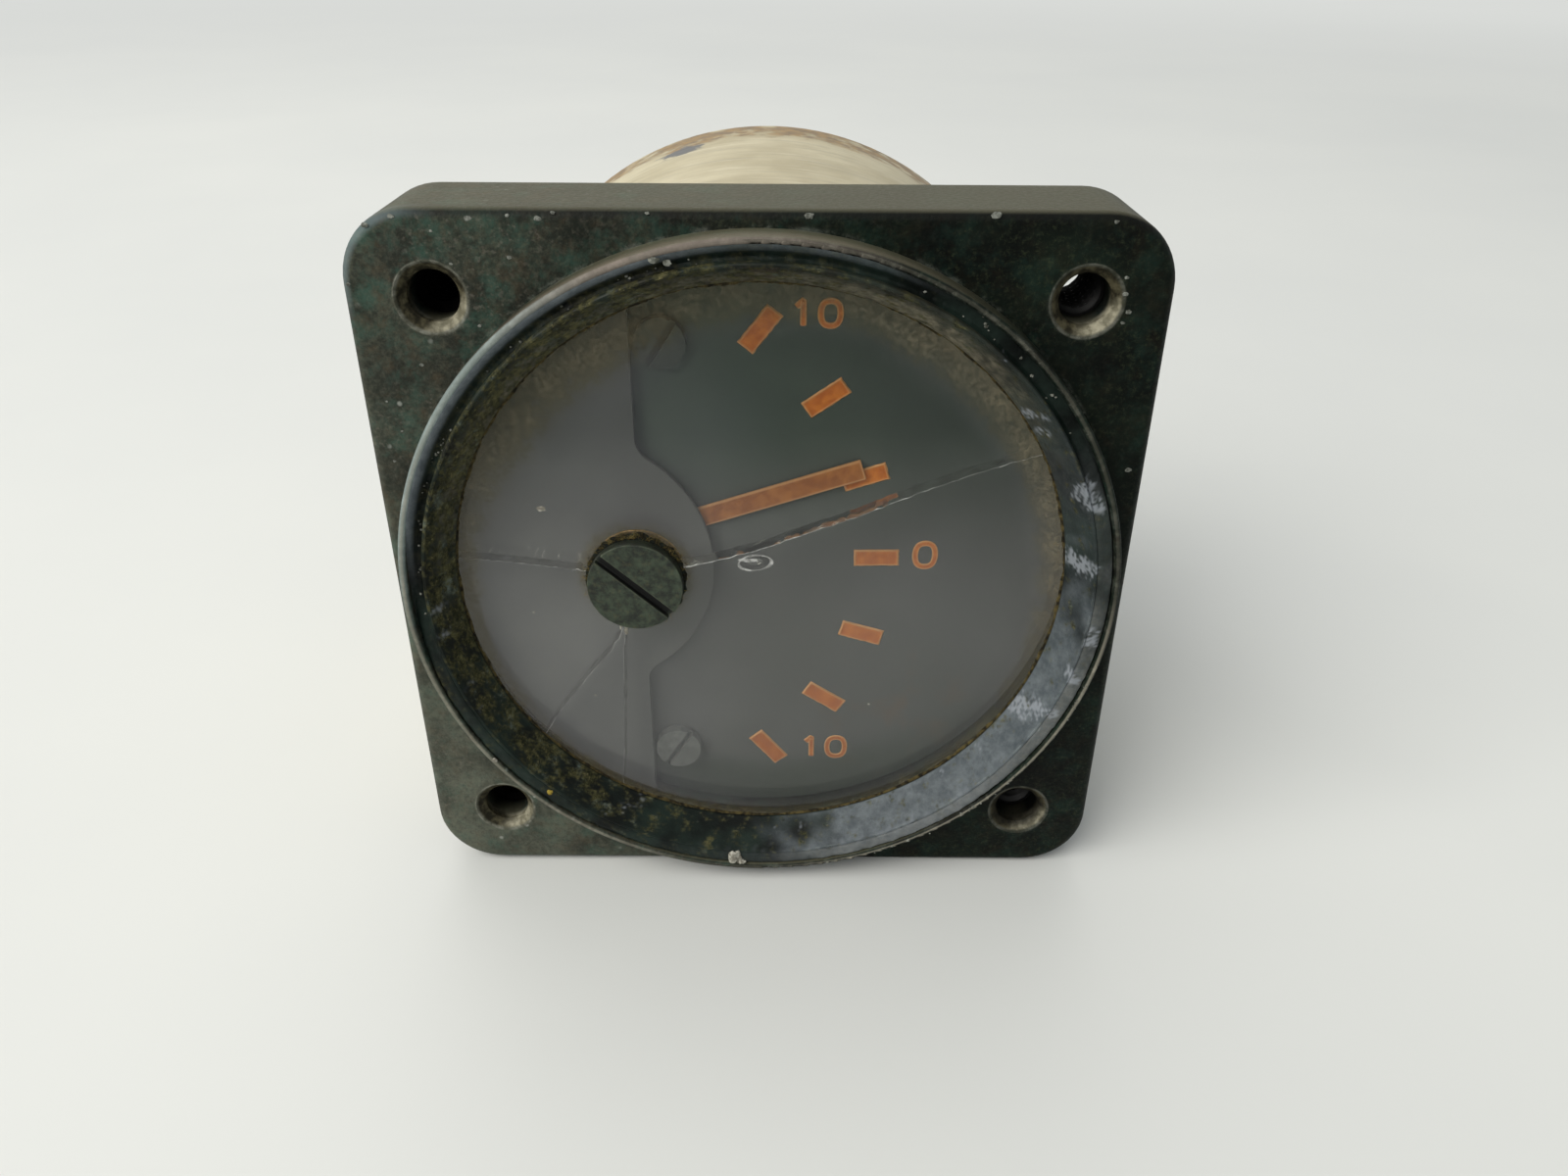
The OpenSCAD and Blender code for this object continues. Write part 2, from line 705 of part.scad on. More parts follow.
// Steel staff in front of the coil, with its collet and fine pivot
module front_staff() color("#9A9DA0") {
    bar(staff_base_r, root_back, coil_front, pivot);
    bar(staff_r, front_spring_y - 0.1, coil_front, pivot);
    bar(pivot_r, front_spring_y - 0.6, front_spring_y, pivot);
    bar(collet_r, front_spring_y, front_spring_y + spring_w, pivot);
}

// Steel staff behind the coil
module rear_staff() color("#9A9DA0") {
    bar(staff_base_r, coil_back, coil_back + 0.4, pivot);
    bar(staff_r, coil_back, rear_spring_y + spring_w + 0.1, pivot);
    bar(pivot_r, rear_spring_y + spring_w, rear_spring_y + spring_w + 0.6, pivot);
    bar(collet_r, rear_spring_y, rear_spring_y + spring_w, pivot);
}

// A rectangular frame of the moving coil, seen from its side
module coil_frame(half_w, y0, y1, wall) {
    at_pointer_rest() difference() {
        translate([-half_w, y0, -coil_depth / 2]) cube([2 * half_w, y1 - y0, coil_depth]);
        translate([wall - half_w, y0 + wall, -coil_depth])
            cube([2 * (half_w - wall), y1 - y0 - 2 * wall, 2 * coil_depth]);
    }
}

// Aluminium former that the coil is wound on
module coil_former() color("#B8BCC0") {
    coil_frame(coil_inner_half_w, former_front, former_back, former_thick);
}

// Copper winding of the moving coil
module coil_winding() color("#A0522D") {
    coil_frame(coil_half_w, coil_front, coil_back, winding_thick);
}

// Front hairspring, from the staff to the zero lever's post
module front_hairspring() color("#C0C4C8") {
    hairspring(front_spring_y, 180);
}

// Rear hairspring, from the staff to its post on the rear bridge
module rear_hairspring() color("#C0C4C8") {
    hairspring(rear_spring_y, 180);
}

// Zero lever: ring on the bridge's boss, fork round the crank pin, post for the hairspring
module zero_lever() color("#C0C4C8") {
    reach = pivot_x - adjuster_x + crank_throw + 1.3;
    slot_start = pivot_x - adjuster_x - crank_pin_r - 0.3;
    arm_w = fork_slot_w + 1.4;
    flat(lever_front, lever_back) translate(pivot) difference() {
        union() {
            circle(lever_ring_r);
            translate([0, -arm_w / 2]) square([reach, arm_w]);
            translate([-spring_post_r - 0.8, -0.8]) square([spring_post_r + 0.8, 1.6]);
        }
        circle(jewel_screw_r + 0.9 + running_gap);
        translate([slot_start, -fork_slot_w / 2]) square([reach, fork_slot_w]);
    }
    bar(small_pin_r, lever_back, front_spring_y + spring_w, pivot - [spring_post_r, 0]);
}

// A jewel screw with its blind bearing hole; it faces backwards from y0 to y1
module front_jewel_screw() color("#C8A850") {
    y0 = lever_front;
    y1 = front_spring_y - 0.15;
    difference() {
        bar(jewel_screw_r, y0, y1, pivot);
        bar(pivot_r + running_gap, y1 - 0.6, y1 + 1, pivot);
        translate([-pivot_x, y0, 0]) cube([4 * jewel_screw_r, 0.5, 0.35], center = true);
    }
}

// The rear jewel screw faces forwards
module rear_jewel_screw() color("#C8A850") {
    y0 = rear_spring_y + spring_w + 0.15;
    y1 = rear_bridge_back + 0.8;
    difference() {
        bar(jewel_screw_r, y0, y1, pivot);
        bar(pivot_r + running_gap, y0 - 1, y0 + 0.6, pivot);
        translate([-pivot_x, y1, 0]) cube([4 * jewel_screw_r, 0.7, 0.35], center = true);
    }
}

// Front bridge with its boss for the zero lever
module front_bridge() color("#B09850") {
    difference() {
        union() {
            flat(bridge_front, bridge_back) bridge_outline();
            bar(jewel_screw_r + 0.9, lever_front, bridge_back, pivot);
        }
        bar(jewel_screw_r + thread_gap, lever_front - 1, bridge_back + 1, pivot);
        for (p = lug_places) {
            bar(small_screw_r + running_gap, bridge_front - 1, bridge_back + 1, p);
            turned([[0, bridge_front - 0.1], [small_head_r + 0.15, bridge_front - 0.1],
                [small_screw_r + running_gap, bridge_front + small_countersink],
                [0, bridge_front + small_countersink]], p);
        }
    }
}

// Two pillars from the movement plate to the front bridge
module front_pillars() color("#B09850") {
    for (p = lug_places) tube(front_pillar_r, small_screw_r + running_gap, bridge_back, 0, p);
}

// Countersunk screws through bridge, pillars and plate into the yoke's lugs
module front_bridge_screws() color("#8A8D90") {
    tip = yoke_front + lug_thick - 0.6;
    for (p = lug_places) turned([[0, bridge_front], [small_head_r, bridge_front],
        [small_screw_r, bridge_front + small_countersink], [small_screw_r, tip], [0, tip]], p);
}

// Rear bridge with the rear bearing
module rear_bridge() color("#B09850") {
    difference() {
        flat(rear_bridge_front, rear_bridge_back) union() {
            bridge_outline();
            translate(pivot - [spring_post_r + 1, spring_arm_w / 2])
                square([spring_post_r + 1, spring_arm_w]);
        }
        bar(jewel_screw_r + thread_gap, rear_bridge_front - 1, rear_bridge_back + 1, pivot);
        bar(small_pin_r + 0.02, rear_bridge_front - 1, rear_bridge_back + 1,
            pivot - [spring_post_r, 0]);
        for (p = lug_places)
            bar(small_screw_r + running_gap, rear_bridge_front - 1, rear_bridge_back + 1, p);
    }
}

// Two pillars from the yoke's lugs to the rear bridge
module rear_pillars() color("#B09850") {
    for (p = lug_places) difference() {
        bar(rear_pillar_r, yoke_front + lug_thick, rear_bridge_front, p);
        bar(small_screw_r + running_gap, rear_bridge_front - bridge_screw_hole,
            rear_bridge_front + 1, p);
    }
}

// Screws that hold the rear bridge on its pillars
module rear_bridge_screws() color("#8A8D90") {
    for (p = lug_places)
        rear_screw(small_head_r, head_h, small_screw_r, rear_bridge_back,
            rear_bridge_front - bridge_screw_len, p, 20);
}

// Post on the rear bridge for the rear hairspring's outer end
module rear_spring_post() color("#C8A850") {
    bar(small_pin_r, rear_spring_y, rear_bridge_back + spring_post_end,
        pivot - [spring_post_r, 0]);
}

// Soft-iron yoke ring with two lugs at its front
module yoke() color("#6E7072") {
    difference() {
        union() {
            bar(yoke_r, yoke_front, yoke_back, pivot);
            flat(yoke_front, yoke_front + lug_thick) for (p = lug_places) {
                translate(p) circle(2);
                translate([p[0], p[1] / 2]) square([4, abs(p[1])], center = true);
            }
        }
        bar(yoke_bore_r, yoke_front - 1, yoke_back + 1, pivot);
        for (p = lug_places)
            bar(small_screw_r + running_gap, yoke_front - 1, yoke_front + lug_thick + 1, p);
        for (s = [-1, 1]) core_screw_shape(s, running_gap);
    }
}

// A countersunk radial screw through the yoke and its spacer into the core
module core_screw_shape(side, grow) {
    y = (yoke_front + yoke_back) / 2;
    head = small_head_r + grow;
    shank = small_screw_r + grow;
    tip = core_r - core_screw_depth - grow;
    outer = yoke_r + (grow > 0 ? 1 : -0.3);
    translate([-pivot_x, y, 0]) rotate([side > 0 ? 0 : 180, 0, 0]) rotate_extrude()
        polygon([[0, tip], [shank, tip], [shank, yoke_r - 0.5 - small_countersink - grow],
            [head, yoke_r - 0.5], [head, outer], [0, outer]]);
}

// Screws that hold the core magnet inside the yoke
module core_screws() color("#B0A070") {
    for (s = [-1, 1]) core_screw_shape(s, 0);
}

// Brass spacers round those screws
module core_spacers() color("#C8A850") {
    y = (yoke_front + yoke_back) / 2;
    r_in = core_r + seat_gap;
    r_out = sqrt(pow(yoke_bore_r, 2) - pow(spacer_r, 2)) - seat_gap;
    for (s = [-1, 1]) difference() {
        translate([-pivot_x, y, s > 0 ? r_in : -r_out]) cylinder(r = spacer_r, h = r_out - r_in);
        translate([-pivot_x, y, s > 0 ? r_in - 1 : -r_out - 1])
            cylinder(r = small_screw_r + running_gap, h = r_out - r_in + 2);
    }
}

// Cylindrical magnet inside the moving coil
module core_magnet() color("#7C7F83") {
    y0 = max(former_front + former_thick + 0.4, yoke_front);
    y1 = former_back - former_thick - 0.4;
    difference() {
        bar(core_r, y0, min(y1, yoke_back), pivot);
        for (s = [-1, 1]) core_screw_shape(s, running_gap);
    }
}

// Two pins that stop the pointer's arm
module pointer_stops() color("#9A9DA0") {
    reach = stop_pin_r + 0.1;
    for (s = [-1, 1]) {
        aside = blade_set + s * (blade_w / 2 + reach);
        a = s * pointer_limit;
        at = pivot + stop_reach * [cos(a), sin(a)] + aside * [-sin(a), cos(a)];
        bar(stop_pin_r, blade_back - 0.1, 0, at);
    }
}

// Plate that carries the movement, the dial and the case pillars
module movement_plate() color("#B8BCC0") {
    difference() {
        bar(plate_r, 0, plate_thick);
        bar(coil_room_r, -1, plate_thick + 1, pivot);
        for (p = lug_places) bar(small_screw_r + running_gap, -1, plate_thick + 1, p);
        for (p = dial_screw_places) bar(post_tenon_r + thread_gap, -1, plate_thick + 1, p);
        for (p = case_screw_places) bar(case_screw_shank_r + thread_gap, -1, plate_thick + 1, p);
        for (a = plate_screw_angles)
            bar(small_screw_r + running_gap, -1, plate_thick + 1,
                plate_screw_r * [cos(a), sin(a)]);
    }
}

// Three screws from the plate into the flange's web
module plate_screws() color("#8A8D90") {
    for (a = plate_screw_angles)
        rear_screw(plate_screw_head_r, 1, small_screw_r, plate_thick, 0.6 - web_thick,
            plate_screw_r * [cos(a), sin(a)], a + 20);
}

// Flat rubber ring between the case's front edge and the flange
module case_gasket() color("#202020") {
    tube(case_r - 0.3, spigot_r + 0.1, -case_seat_depth, case_front);
}

// Drawn case with a rounded rear corner
module rear_case() color("#C4BA98") {
    arc = [for (a = [0 : 15 : 90]) [case_r - case_corner_r + case_corner_r * cos(a),
        case_len - case_corner_r + case_corner_r * sin(a)]];
    inner_r = max(case_corner_r - case_wall, 0.2);
    inner = [for (a = [90 : -15 : 0]) [case_bore_r - inner_r + inner_r * cos(a),
        case_inside - inner_r + inner_r * sin(a)]];
    difference() {
        turned(concat([[case_r, case_front]], arc, [[0, case_len], [0, case_inside]],
            inner, [[case_bore_r, case_front]]));
        for (p = case_screw_places)
            bar(case_screw_shank_r + 3 * thread_gap, case_inside - 1, case_len + 1, p);
        for (p = terminal_places) bar(bush_spigot_r + 0.05, case_inside - 1, case_len + 1, p);
    }
}

// Two pillars from the movement plate to the resistor board
module case_pillars() color("#B09850") {
    for (p = case_screw_places) {
        bar(pillar_r, plate_thick, board_front, p);
        bar(case_screw_shank_r, 0, plate_thick, p);
        bar(case_screw_shank_r, board_front, board_back + pillar_stud_len, p);
    }
}

// Two pillars from the resistor board to the case's rear wall
module board_pillars() color("#B09850") {
    for (p = case_screw_places) difference() {
        bar(pillar_r, board_back, case_inside, p);
        bar(case_screw_shank_r + thread_gap, board_back - 1, board_back + pillar_stud_len + 0.5, p);
        bar(case_screw_shank_r + thread_gap, case_inside - case_screw_len - 0.5, case_inside + 1, p);
    }
}

// Laminate board for the series resistor
module resistor_board() color("#7A4A22") {
    flat(board_front, board_back) difference() {
        union() {
            translate([case_screw_x - board_w / 2, -case_screw_z])
                square([board_w, 2 * case_screw_z]);
            for (p = case_screw_places) translate(p) circle(pillar_r + 0.8);
        }
        for (p = case_screw_places) translate(p) circle(case_screw_shank_r + thread_gap);
        for (s = [-1, 1]) translate([case_screw_x, s * resistor_leg_z]) circle(resistor_leg_r + 0.05);
    }
}

// Wire-wound series resistor on the board's front face
module series_resistor() color("#3A5A40") {
    y = board_front - resistor_r;
    translate([case_screw_x, y, -resistor_len / 2]) cylinder(r = resistor_r, h = resistor_len);
    translate([case_screw_x, y, -resistor_leg_z]) cylinder(r = resistor_leg_r, h = 2 * resistor_leg_z);
    for (s = [-1, 1]) {
        translate([case_screw_x, y, s * resistor_leg_z]) sphere(resistor_leg_r);
        bar(resistor_leg_r, y, board_back + resistor_leg_end, [case_screw_x, s * resistor_leg_z]);
    }
}

// Two screws that draw the case on to the flange
module case_screws() color("#8A8D90") {
    for (p = case_screw_places)
        rear_screw(case_screw_head_r, case_screw_head_h, case_screw_shank_r,
            case_len + case_washer_thick, case_inside - case_screw_len, p, 35);
}

// Sealing washers under the case screws' heads
module case_washers() color("#3A3A3A") {
    for (p = case_screw_places) tube(case_screw_head_r + 0.4, case_screw_shank_r + thread_gap,
        case_len, case_len + case_washer_thick, p);
}

// Flanged insulating bushes through the case's rear wall
module terminal_bushes() color("#3B2A20") {
    for (p = terminal_places) difference() {
        union() {
            bar(bush_r, case_len, bush_back, p);
            bar(bush_spigot_r, case_inside, case_len, p);
        }
        bar(stud_r + 0.05, case_inside - 1, bush_back + 1, p);
    }
}

// Insulating washers inside the case
module terminal_insulators() color("#3B2A20") {
    for (p = terminal_places) tube(bush_r, stud_r + 0.05, insulator_front, case_inside, p);
}

// Threaded studs of the two terminals
module terminal_studs() color("#C8A850") {
    for (p = terminal_places) {
        bar(stud_r, stud_front, outer_nut_back, p);
        bar(stud_end_r, outer_nut_back, stud_back, p);
    }
}

// Hexagon nuts inside and outside the case
module terminal_nuts() color("#C8A850") {
    for (p = terminal_places, y = [inner_nut_front, outer_nut_front]) difference() {
        translate([p[0], y + nut_thick, p[1]]) rotate([90, 0, 0])
            cylinder(r = nut_r, h = nut_thick, $fn = 6);
        bar(stud_r + 0.05, y - 1, y + nut_thick + 1, p);
    }
}

// Washers under the nuts
module terminal_washers() color("#C0C4C8") {
    for (p = terminal_places) {
        tube(nut_r + 0.3, stud_r + 0.05, bush_back, outer_nut_front, p);
        tube(nut_r + 0.3, stud_r + 0.05, insulator_front - washer_thick, insulator_front, p);
    }
}

// Solder tags between the inner nuts and washers
module solder_tags() color("#C0C4C8") {
    y1 = insulator_front - washer_thick;
    for (p = terminal_places) flat(y1 - tag_thick, y1) translate(p) difference() {
        union() {
            circle(stud_r + 1.5);
            translate([-tag_w / 2, -stud_r - tag_reach]) square([tag_w, stud_r + tag_reach]);
        }
        circle(stud_r + 0.05);
    }
}

// Insulated leads between movement, resistor and terminals
module leads() color("#7A2E24") {
    tag_y = insulator_front - washer_thick - tag_thick - lead_r;
    tag_end_z = -stud_r - tag_reach;
    left_x = -terminal_pitch / 2;
    right_x = terminal_pitch / 2;
    post_x = -pivot_x - spring_post_r;
    post_y = rear_bridge_back + spring_post_end;
    yoke_x = (yoke_r + yoke_bore_r) / 2 - pivot_x;
    leg_y = board_back + resistor_leg_end;
    beside_board = case_screw_x - board_w / 2 - 3;
    lead([[post_x, post_y, 0], [post_x, post_y + 4, 0],
        [left_x - 3, tag_y - 4, tag_end_z - 4], [left_x, tag_y, tag_end_z - 3],
        [left_x, tag_y, tag_end_z + 2]]);
    lead([[case_screw_x, leg_y, -resistor_leg_z], [case_screw_x, leg_y + 5, -resistor_leg_z],
        [right_x, tag_y, tag_end_z - 3], [right_x, tag_y, tag_end_z + 2]]);
    lead([[case_screw_x, leg_y, resistor_leg_z], [case_screw_x, leg_y + 4, resistor_leg_z],
        [beside_board, leg_y + 4, resistor_leg_z - 2], [beside_board, board_front - 4, 3],
        [yoke_x, yoke_back + 4, 0], [yoke_x, yoke_back, 0]]);
}

bezel_flange();
retaining_ring();
window();
window_gasket();
zero_adjuster();
adjuster_gasket();
adjuster_washer();
adjuster_crank();
mask_plate();
mask_bushes();
mask_screws();
dial_plate();
dial_marks();
dial_screws();
dial_posts();
pointer();
balance_weights();
front_staff();
rear_staff();
coil_former();
coil_winding();
front_hairspring();
rear_hairspring();
zero_lever();
front_jewel_screw();
rear_jewel_screw();
front_bridge();
front_pillars();
front_bridge_screws();
rear_bridge();
rear_pillars();
rear_bridge_screws();
rear_spring_post();
yoke();
core_magnet();
core_spacers();
core_screws();
pointer_stops();
movement_plate();
plate_screws();
case_gasket();
rear_case();
case_pillars();
board_pillars();
resistor_board();
series_resistor();
case_screws();
case_washers();
terminal_bushes();
terminal_insulators();
terminal_studs();
terminal_nuts();
terminal_washers();
solder_tags();
leads();
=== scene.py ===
"""A trim indicator on a pale table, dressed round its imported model. Sizes are in millimetres until
a mesh is made. X is to the right, Z is up, and Y runs from the dial to the back of the case."""
import json

import bmesh
import bpy
import numpy as np
from mathutils import Matrix, Vector
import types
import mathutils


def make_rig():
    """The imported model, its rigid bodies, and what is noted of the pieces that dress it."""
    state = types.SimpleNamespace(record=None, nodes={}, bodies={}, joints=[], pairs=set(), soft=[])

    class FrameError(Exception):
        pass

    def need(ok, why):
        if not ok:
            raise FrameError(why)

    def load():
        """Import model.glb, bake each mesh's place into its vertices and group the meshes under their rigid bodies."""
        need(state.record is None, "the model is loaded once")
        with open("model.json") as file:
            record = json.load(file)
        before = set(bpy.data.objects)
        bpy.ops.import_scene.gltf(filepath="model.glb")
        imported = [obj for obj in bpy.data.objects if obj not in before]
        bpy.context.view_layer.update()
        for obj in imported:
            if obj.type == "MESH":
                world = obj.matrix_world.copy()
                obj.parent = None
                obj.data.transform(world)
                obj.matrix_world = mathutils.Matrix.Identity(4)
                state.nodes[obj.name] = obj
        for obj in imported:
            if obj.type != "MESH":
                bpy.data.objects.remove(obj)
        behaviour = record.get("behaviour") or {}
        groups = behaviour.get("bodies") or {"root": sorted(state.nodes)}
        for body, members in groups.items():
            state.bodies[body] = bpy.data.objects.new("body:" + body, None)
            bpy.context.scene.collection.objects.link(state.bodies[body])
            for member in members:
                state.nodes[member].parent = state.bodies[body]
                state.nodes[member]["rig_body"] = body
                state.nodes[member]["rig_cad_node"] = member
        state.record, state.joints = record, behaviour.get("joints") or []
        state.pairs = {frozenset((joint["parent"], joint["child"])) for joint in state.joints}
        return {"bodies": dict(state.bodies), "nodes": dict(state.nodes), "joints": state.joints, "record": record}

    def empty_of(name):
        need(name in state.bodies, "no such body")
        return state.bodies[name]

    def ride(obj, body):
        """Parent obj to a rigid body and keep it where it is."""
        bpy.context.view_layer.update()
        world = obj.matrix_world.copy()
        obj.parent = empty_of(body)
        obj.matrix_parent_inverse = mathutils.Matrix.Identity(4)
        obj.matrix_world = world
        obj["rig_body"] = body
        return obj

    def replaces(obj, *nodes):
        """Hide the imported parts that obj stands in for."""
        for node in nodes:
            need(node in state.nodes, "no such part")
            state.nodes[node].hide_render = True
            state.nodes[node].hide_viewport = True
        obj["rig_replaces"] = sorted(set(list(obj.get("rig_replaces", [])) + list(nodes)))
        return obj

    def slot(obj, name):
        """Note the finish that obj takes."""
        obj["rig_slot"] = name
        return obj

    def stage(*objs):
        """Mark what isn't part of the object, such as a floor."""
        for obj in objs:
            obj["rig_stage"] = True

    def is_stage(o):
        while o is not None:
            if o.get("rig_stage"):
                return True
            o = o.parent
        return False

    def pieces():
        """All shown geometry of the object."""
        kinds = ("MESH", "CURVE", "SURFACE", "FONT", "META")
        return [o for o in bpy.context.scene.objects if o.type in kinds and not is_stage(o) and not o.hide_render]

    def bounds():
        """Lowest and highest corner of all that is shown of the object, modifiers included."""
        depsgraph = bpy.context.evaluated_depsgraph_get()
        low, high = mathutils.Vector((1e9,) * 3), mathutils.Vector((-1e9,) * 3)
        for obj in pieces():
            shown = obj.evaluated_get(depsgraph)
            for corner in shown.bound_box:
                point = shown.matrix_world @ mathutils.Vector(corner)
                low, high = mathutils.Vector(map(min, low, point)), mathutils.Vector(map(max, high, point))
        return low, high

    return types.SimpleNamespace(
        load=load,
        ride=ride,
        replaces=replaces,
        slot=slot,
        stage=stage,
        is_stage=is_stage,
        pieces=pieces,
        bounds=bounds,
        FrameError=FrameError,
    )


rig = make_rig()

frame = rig.load()
cad_low, cad_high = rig.bounds()
nodes = frame["nodes"]

# --- Camera -------------------------------------------------------------------------------------
# A compact camera held close to the instrument, looking down on it at thirty degrees. Its place,
# slope and focal length were worked out from the flange's corners, the four holes and the rim.
LOOKING_DOWN, TURNED_RIGHT, ROLLED = np.radians([29.7546, 0.0679, 0.3524])
camera_data = bpy.data.cameras.new("camera")
camera_data.sensor_width = 36
camera_data.lens = 26.599
camera_data.clip_start, camera_data.clip_end = 0.005, 20
camera = bpy.data.objects.new("camera", camera_data)
camera.matrix_world = (
    Matrix.Translation(Vector((1.834, -92.772, 47.398)) / 1000)
    @ Matrix.Rotation(-TURNED_RIGHT, 4, "Z")
    @ Matrix.Rotation(np.pi / 2 - LOOKING_DOWN, 4, "X")
    @ Matrix.Rotation(ROLLED, 4, "Z")
)
bpy.context.scene.collection.objects.link(camera)
bpy.context.scene.camera = camera
bpy.context.scene.view_settings.view_transform = "Standard"


# --- Table and daylight -------------------------------------------------------------------------
# A smooth pale laminate table under a wide soft window of daylight at the upper left. The
# instrument leans on its flange's lower edge and its case, so the table slopes a little to it.
def paint(code):
    """Linear colour of an sRGB hex code: the sRGB curve undone for each channel."""
    srgb = np.array([int(code[i : i + 2], 16) for i in (1, 3, 5)]) / 255
    linear = np.where(srgb <= 0.04045, srgb / 12.92, ((srgb + 0.055) / 1.055) ** 2.4)
    return (*linear.tolist(), 1.0)


def add(kind, sockets=(), **settings):
    """Adds a shader node to the tree in hand and fills its sockets: a hex code is a colour, and
    a node or another's socket is linked. A node stands for its first output in use."""
    made = tree.nodes.new("ShaderNode" + kind)
    for name, value in settings.items():
        setattr(made, name, value)
    for key, value in dict(sockets).items():
        if isinstance(value, bpy.types.Node):
            value = next(output for output in value.outputs if output.enabled)
        if isinstance(value, bpy.types.NodeSocket):
            tree.links.new(value, made.inputs[key])
        else:
            made.inputs[key].default_value = paint(value) if isinstance(value, str) else value
    return made


def empty_material(name):
    """A material whose empty node tree is now in hand; where is a point's place in metres."""
    global tree, where
    material = bpy.data.materials.new(name)
    material.use_nodes = True
    tree = material.node_tree
    tree.nodes.clear()
    where = add("TexCoord").outputs["Object"]
    return material


def surface(name, grids, close_rows=True, close_columns=True, material=None, attributes=()):
    """A smooth quad mesh through grids of points in mm; a closed direction joins its ends."""
    quads, start = [], 0
    for grid in grids:
        rows, columns = grid.shape[:2]
        i, j = np.meshgrid(np.arange(rows if close_rows else rows - 1),
                           np.arange(columns if close_columns else columns - 1), indexing="ij")
        i, j = i.ravel(), j.ravel()
        below, beside = (i + 1) % rows, (j + 1) % columns
        quads.append(start + np.stack([i * columns + j, i * columns + beside,
                                       below * columns + beside, below * columns + j], axis=1))
        start += rows * columns
    quads = np.concatenate(quads)
    mesh = bpy.data.meshes.new(name)
    mesh.vertices.add(start)
    mesh.vertices.foreach_set("co", (np.concatenate([g.reshape(-1, 3) for g in grids])
                                     / 1000).astype(np.float32).ravel())
    mesh.loops.add(quads.size)
    mesh.loops.foreach_set("vertex_index", quads.astype(np.int32).ravel())
    mesh.polygons.add(len(quads))
    mesh.polygons.foreach_set("loop_start", np.arange(0, quads.size, 4, dtype=np.int32))
    for label, values in dict(attributes).items():
        mesh.attributes.new(label, "FLOAT", "POINT").data.foreach_set(
            "value", np.concatenate([v.ravel() for v in values]).astype(np.float32))
    mesh.update(calc_edges=True)
    work = bmesh.new()
    work.from_mesh(mesh)
    bmesh.ops.remove_doubles(work, verts=work.verts, dist=1e-7)
    bmesh.ops.recalc_face_normals(work, faces=work.faces)
    work.to_mesh(mesh)
    work.free()
    mesh.shade_smooth()
    mesh.set_sharp_from_angle(angle=np.radians(38))
    made = bpy.data.objects.new(name, mesh)
    bpy.context.scene.collection.objects.link(made)
    mesh.materials.append(material)
    return made


def overlap(*masks):
    """The product of masks: where all of them hold at once."""
    product = masks[0]
    for mask in masks[1:]:
        product = add("Math", {0: product, 1: mask}, operation="MULTIPLY")
    return product


def seen_directly():
    """1 for a ray from the camera, or one mirrored or refracted; 0 for one that brings light."""
    path = add("LightPath").outputs
    mirrored_or_seen = add("Math", {0: path["Is Camera Ray"], 1: path["Is Glossy Ray"]},
                           operation="MAXIMUM")
    return add("Math", {0: mirrored_or_seen, 1: path["Is Transmission Ray"]},
               operation="MAXIMUM")


# pressed laminate: off-white, faintly mottled over some decimetres, with a soft satin sheen
laminate = empty_material("white_laminate_table")
shade = add("ValToRGB", {"Fac": add("TexNoise", {"Vector": where, "Scale": 9.0, "Detail": 5.0})})
shade.color_ramp.elements[0].color = paint("#D3D6D4")
shade.color_ramp.elements[1].color = paint("#E2E4DF")
top_coat = add("BsdfPrincipled", {"Base Color": shade, "Roughness": 0.45, "IOR": 1.5})
# far from the instrument the table fades into the backdrop's own colour
BACKDROP = "#D9DBD8"
far_off = add("MapRange", {"Value": add("VectorMath", {0: where}, operation="LENGTH"),
                           "From Min": 0.3, "From Max": 1.1}, interpolation_type="SMOOTHSTEP")
add("OutputMaterial", {"Surface": add("MixShader", {
    0: overlap(far_off, seen_directly()), 1: top_coat, 2: add("Emission", {"Color": BACKDROP})})})

FLANGE_FOOT, CASE_FOOT, CASE_BACK = -30.1625, -29.25, 36.1


def all_round(steps):
    """A column of equal angles in radians round a full turn."""
    return np.linspace(0, 2 * np.pi, steps, endpoint=False)[:, None]


def table_height(y):
    """The height of the plane under the flange's foot and the case's foot, at a depth."""
    return FLANGE_FOOT + (CASE_FOOT - FLANGE_FOOT) / CASE_BACK * y


reach = np.array([0.0, 60, 200, 600, 1500, 4000])[:, None]
bearing = all_round(64).T
table_x, table_y = reach * np.cos(bearing), reach * np.sin(bearing)
table = surface("table", [np.stack([table_x, table_y, table_height(table_y)], axis=2)],
                close_rows=False, material=laminate)
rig.stage(table)


def daylight(name, place, aim, width, height, watts, colour):
    """A soft rectangular lamp at a place in mm, turned to face another place."""
    lamp_data = bpy.data.lights.new(name, "AREA")
    lamp_data.shape = "RECTANGLE"
    lamp_data.size, lamp_data.size_y, lamp_data.energy = width / 1000, height / 1000, watts
    lamp_data.color = paint(colour)[:3]
    lamp = bpy.data.objects.new(name, lamp_data)
    place, aim = Vector(place) / 1000, Vector(aim) / 1000
    lamp.matrix_world = Matrix.Translation(place) @ (
        (place - aim).to_track_quat("Z", "Y").to_matrix().to_4x4())
    bpy.context.scene.collection.objects.link(lamp)


daylight("window_light", (-880, -770, 990), (0, 0, 0), 1240, 1100, 25.5, "#FFFBF6")
daylight("ceiling_light", (-250, 600, 1000), (0, 100, 0), 1200, 1200, 4.8, "#FFFAF4")

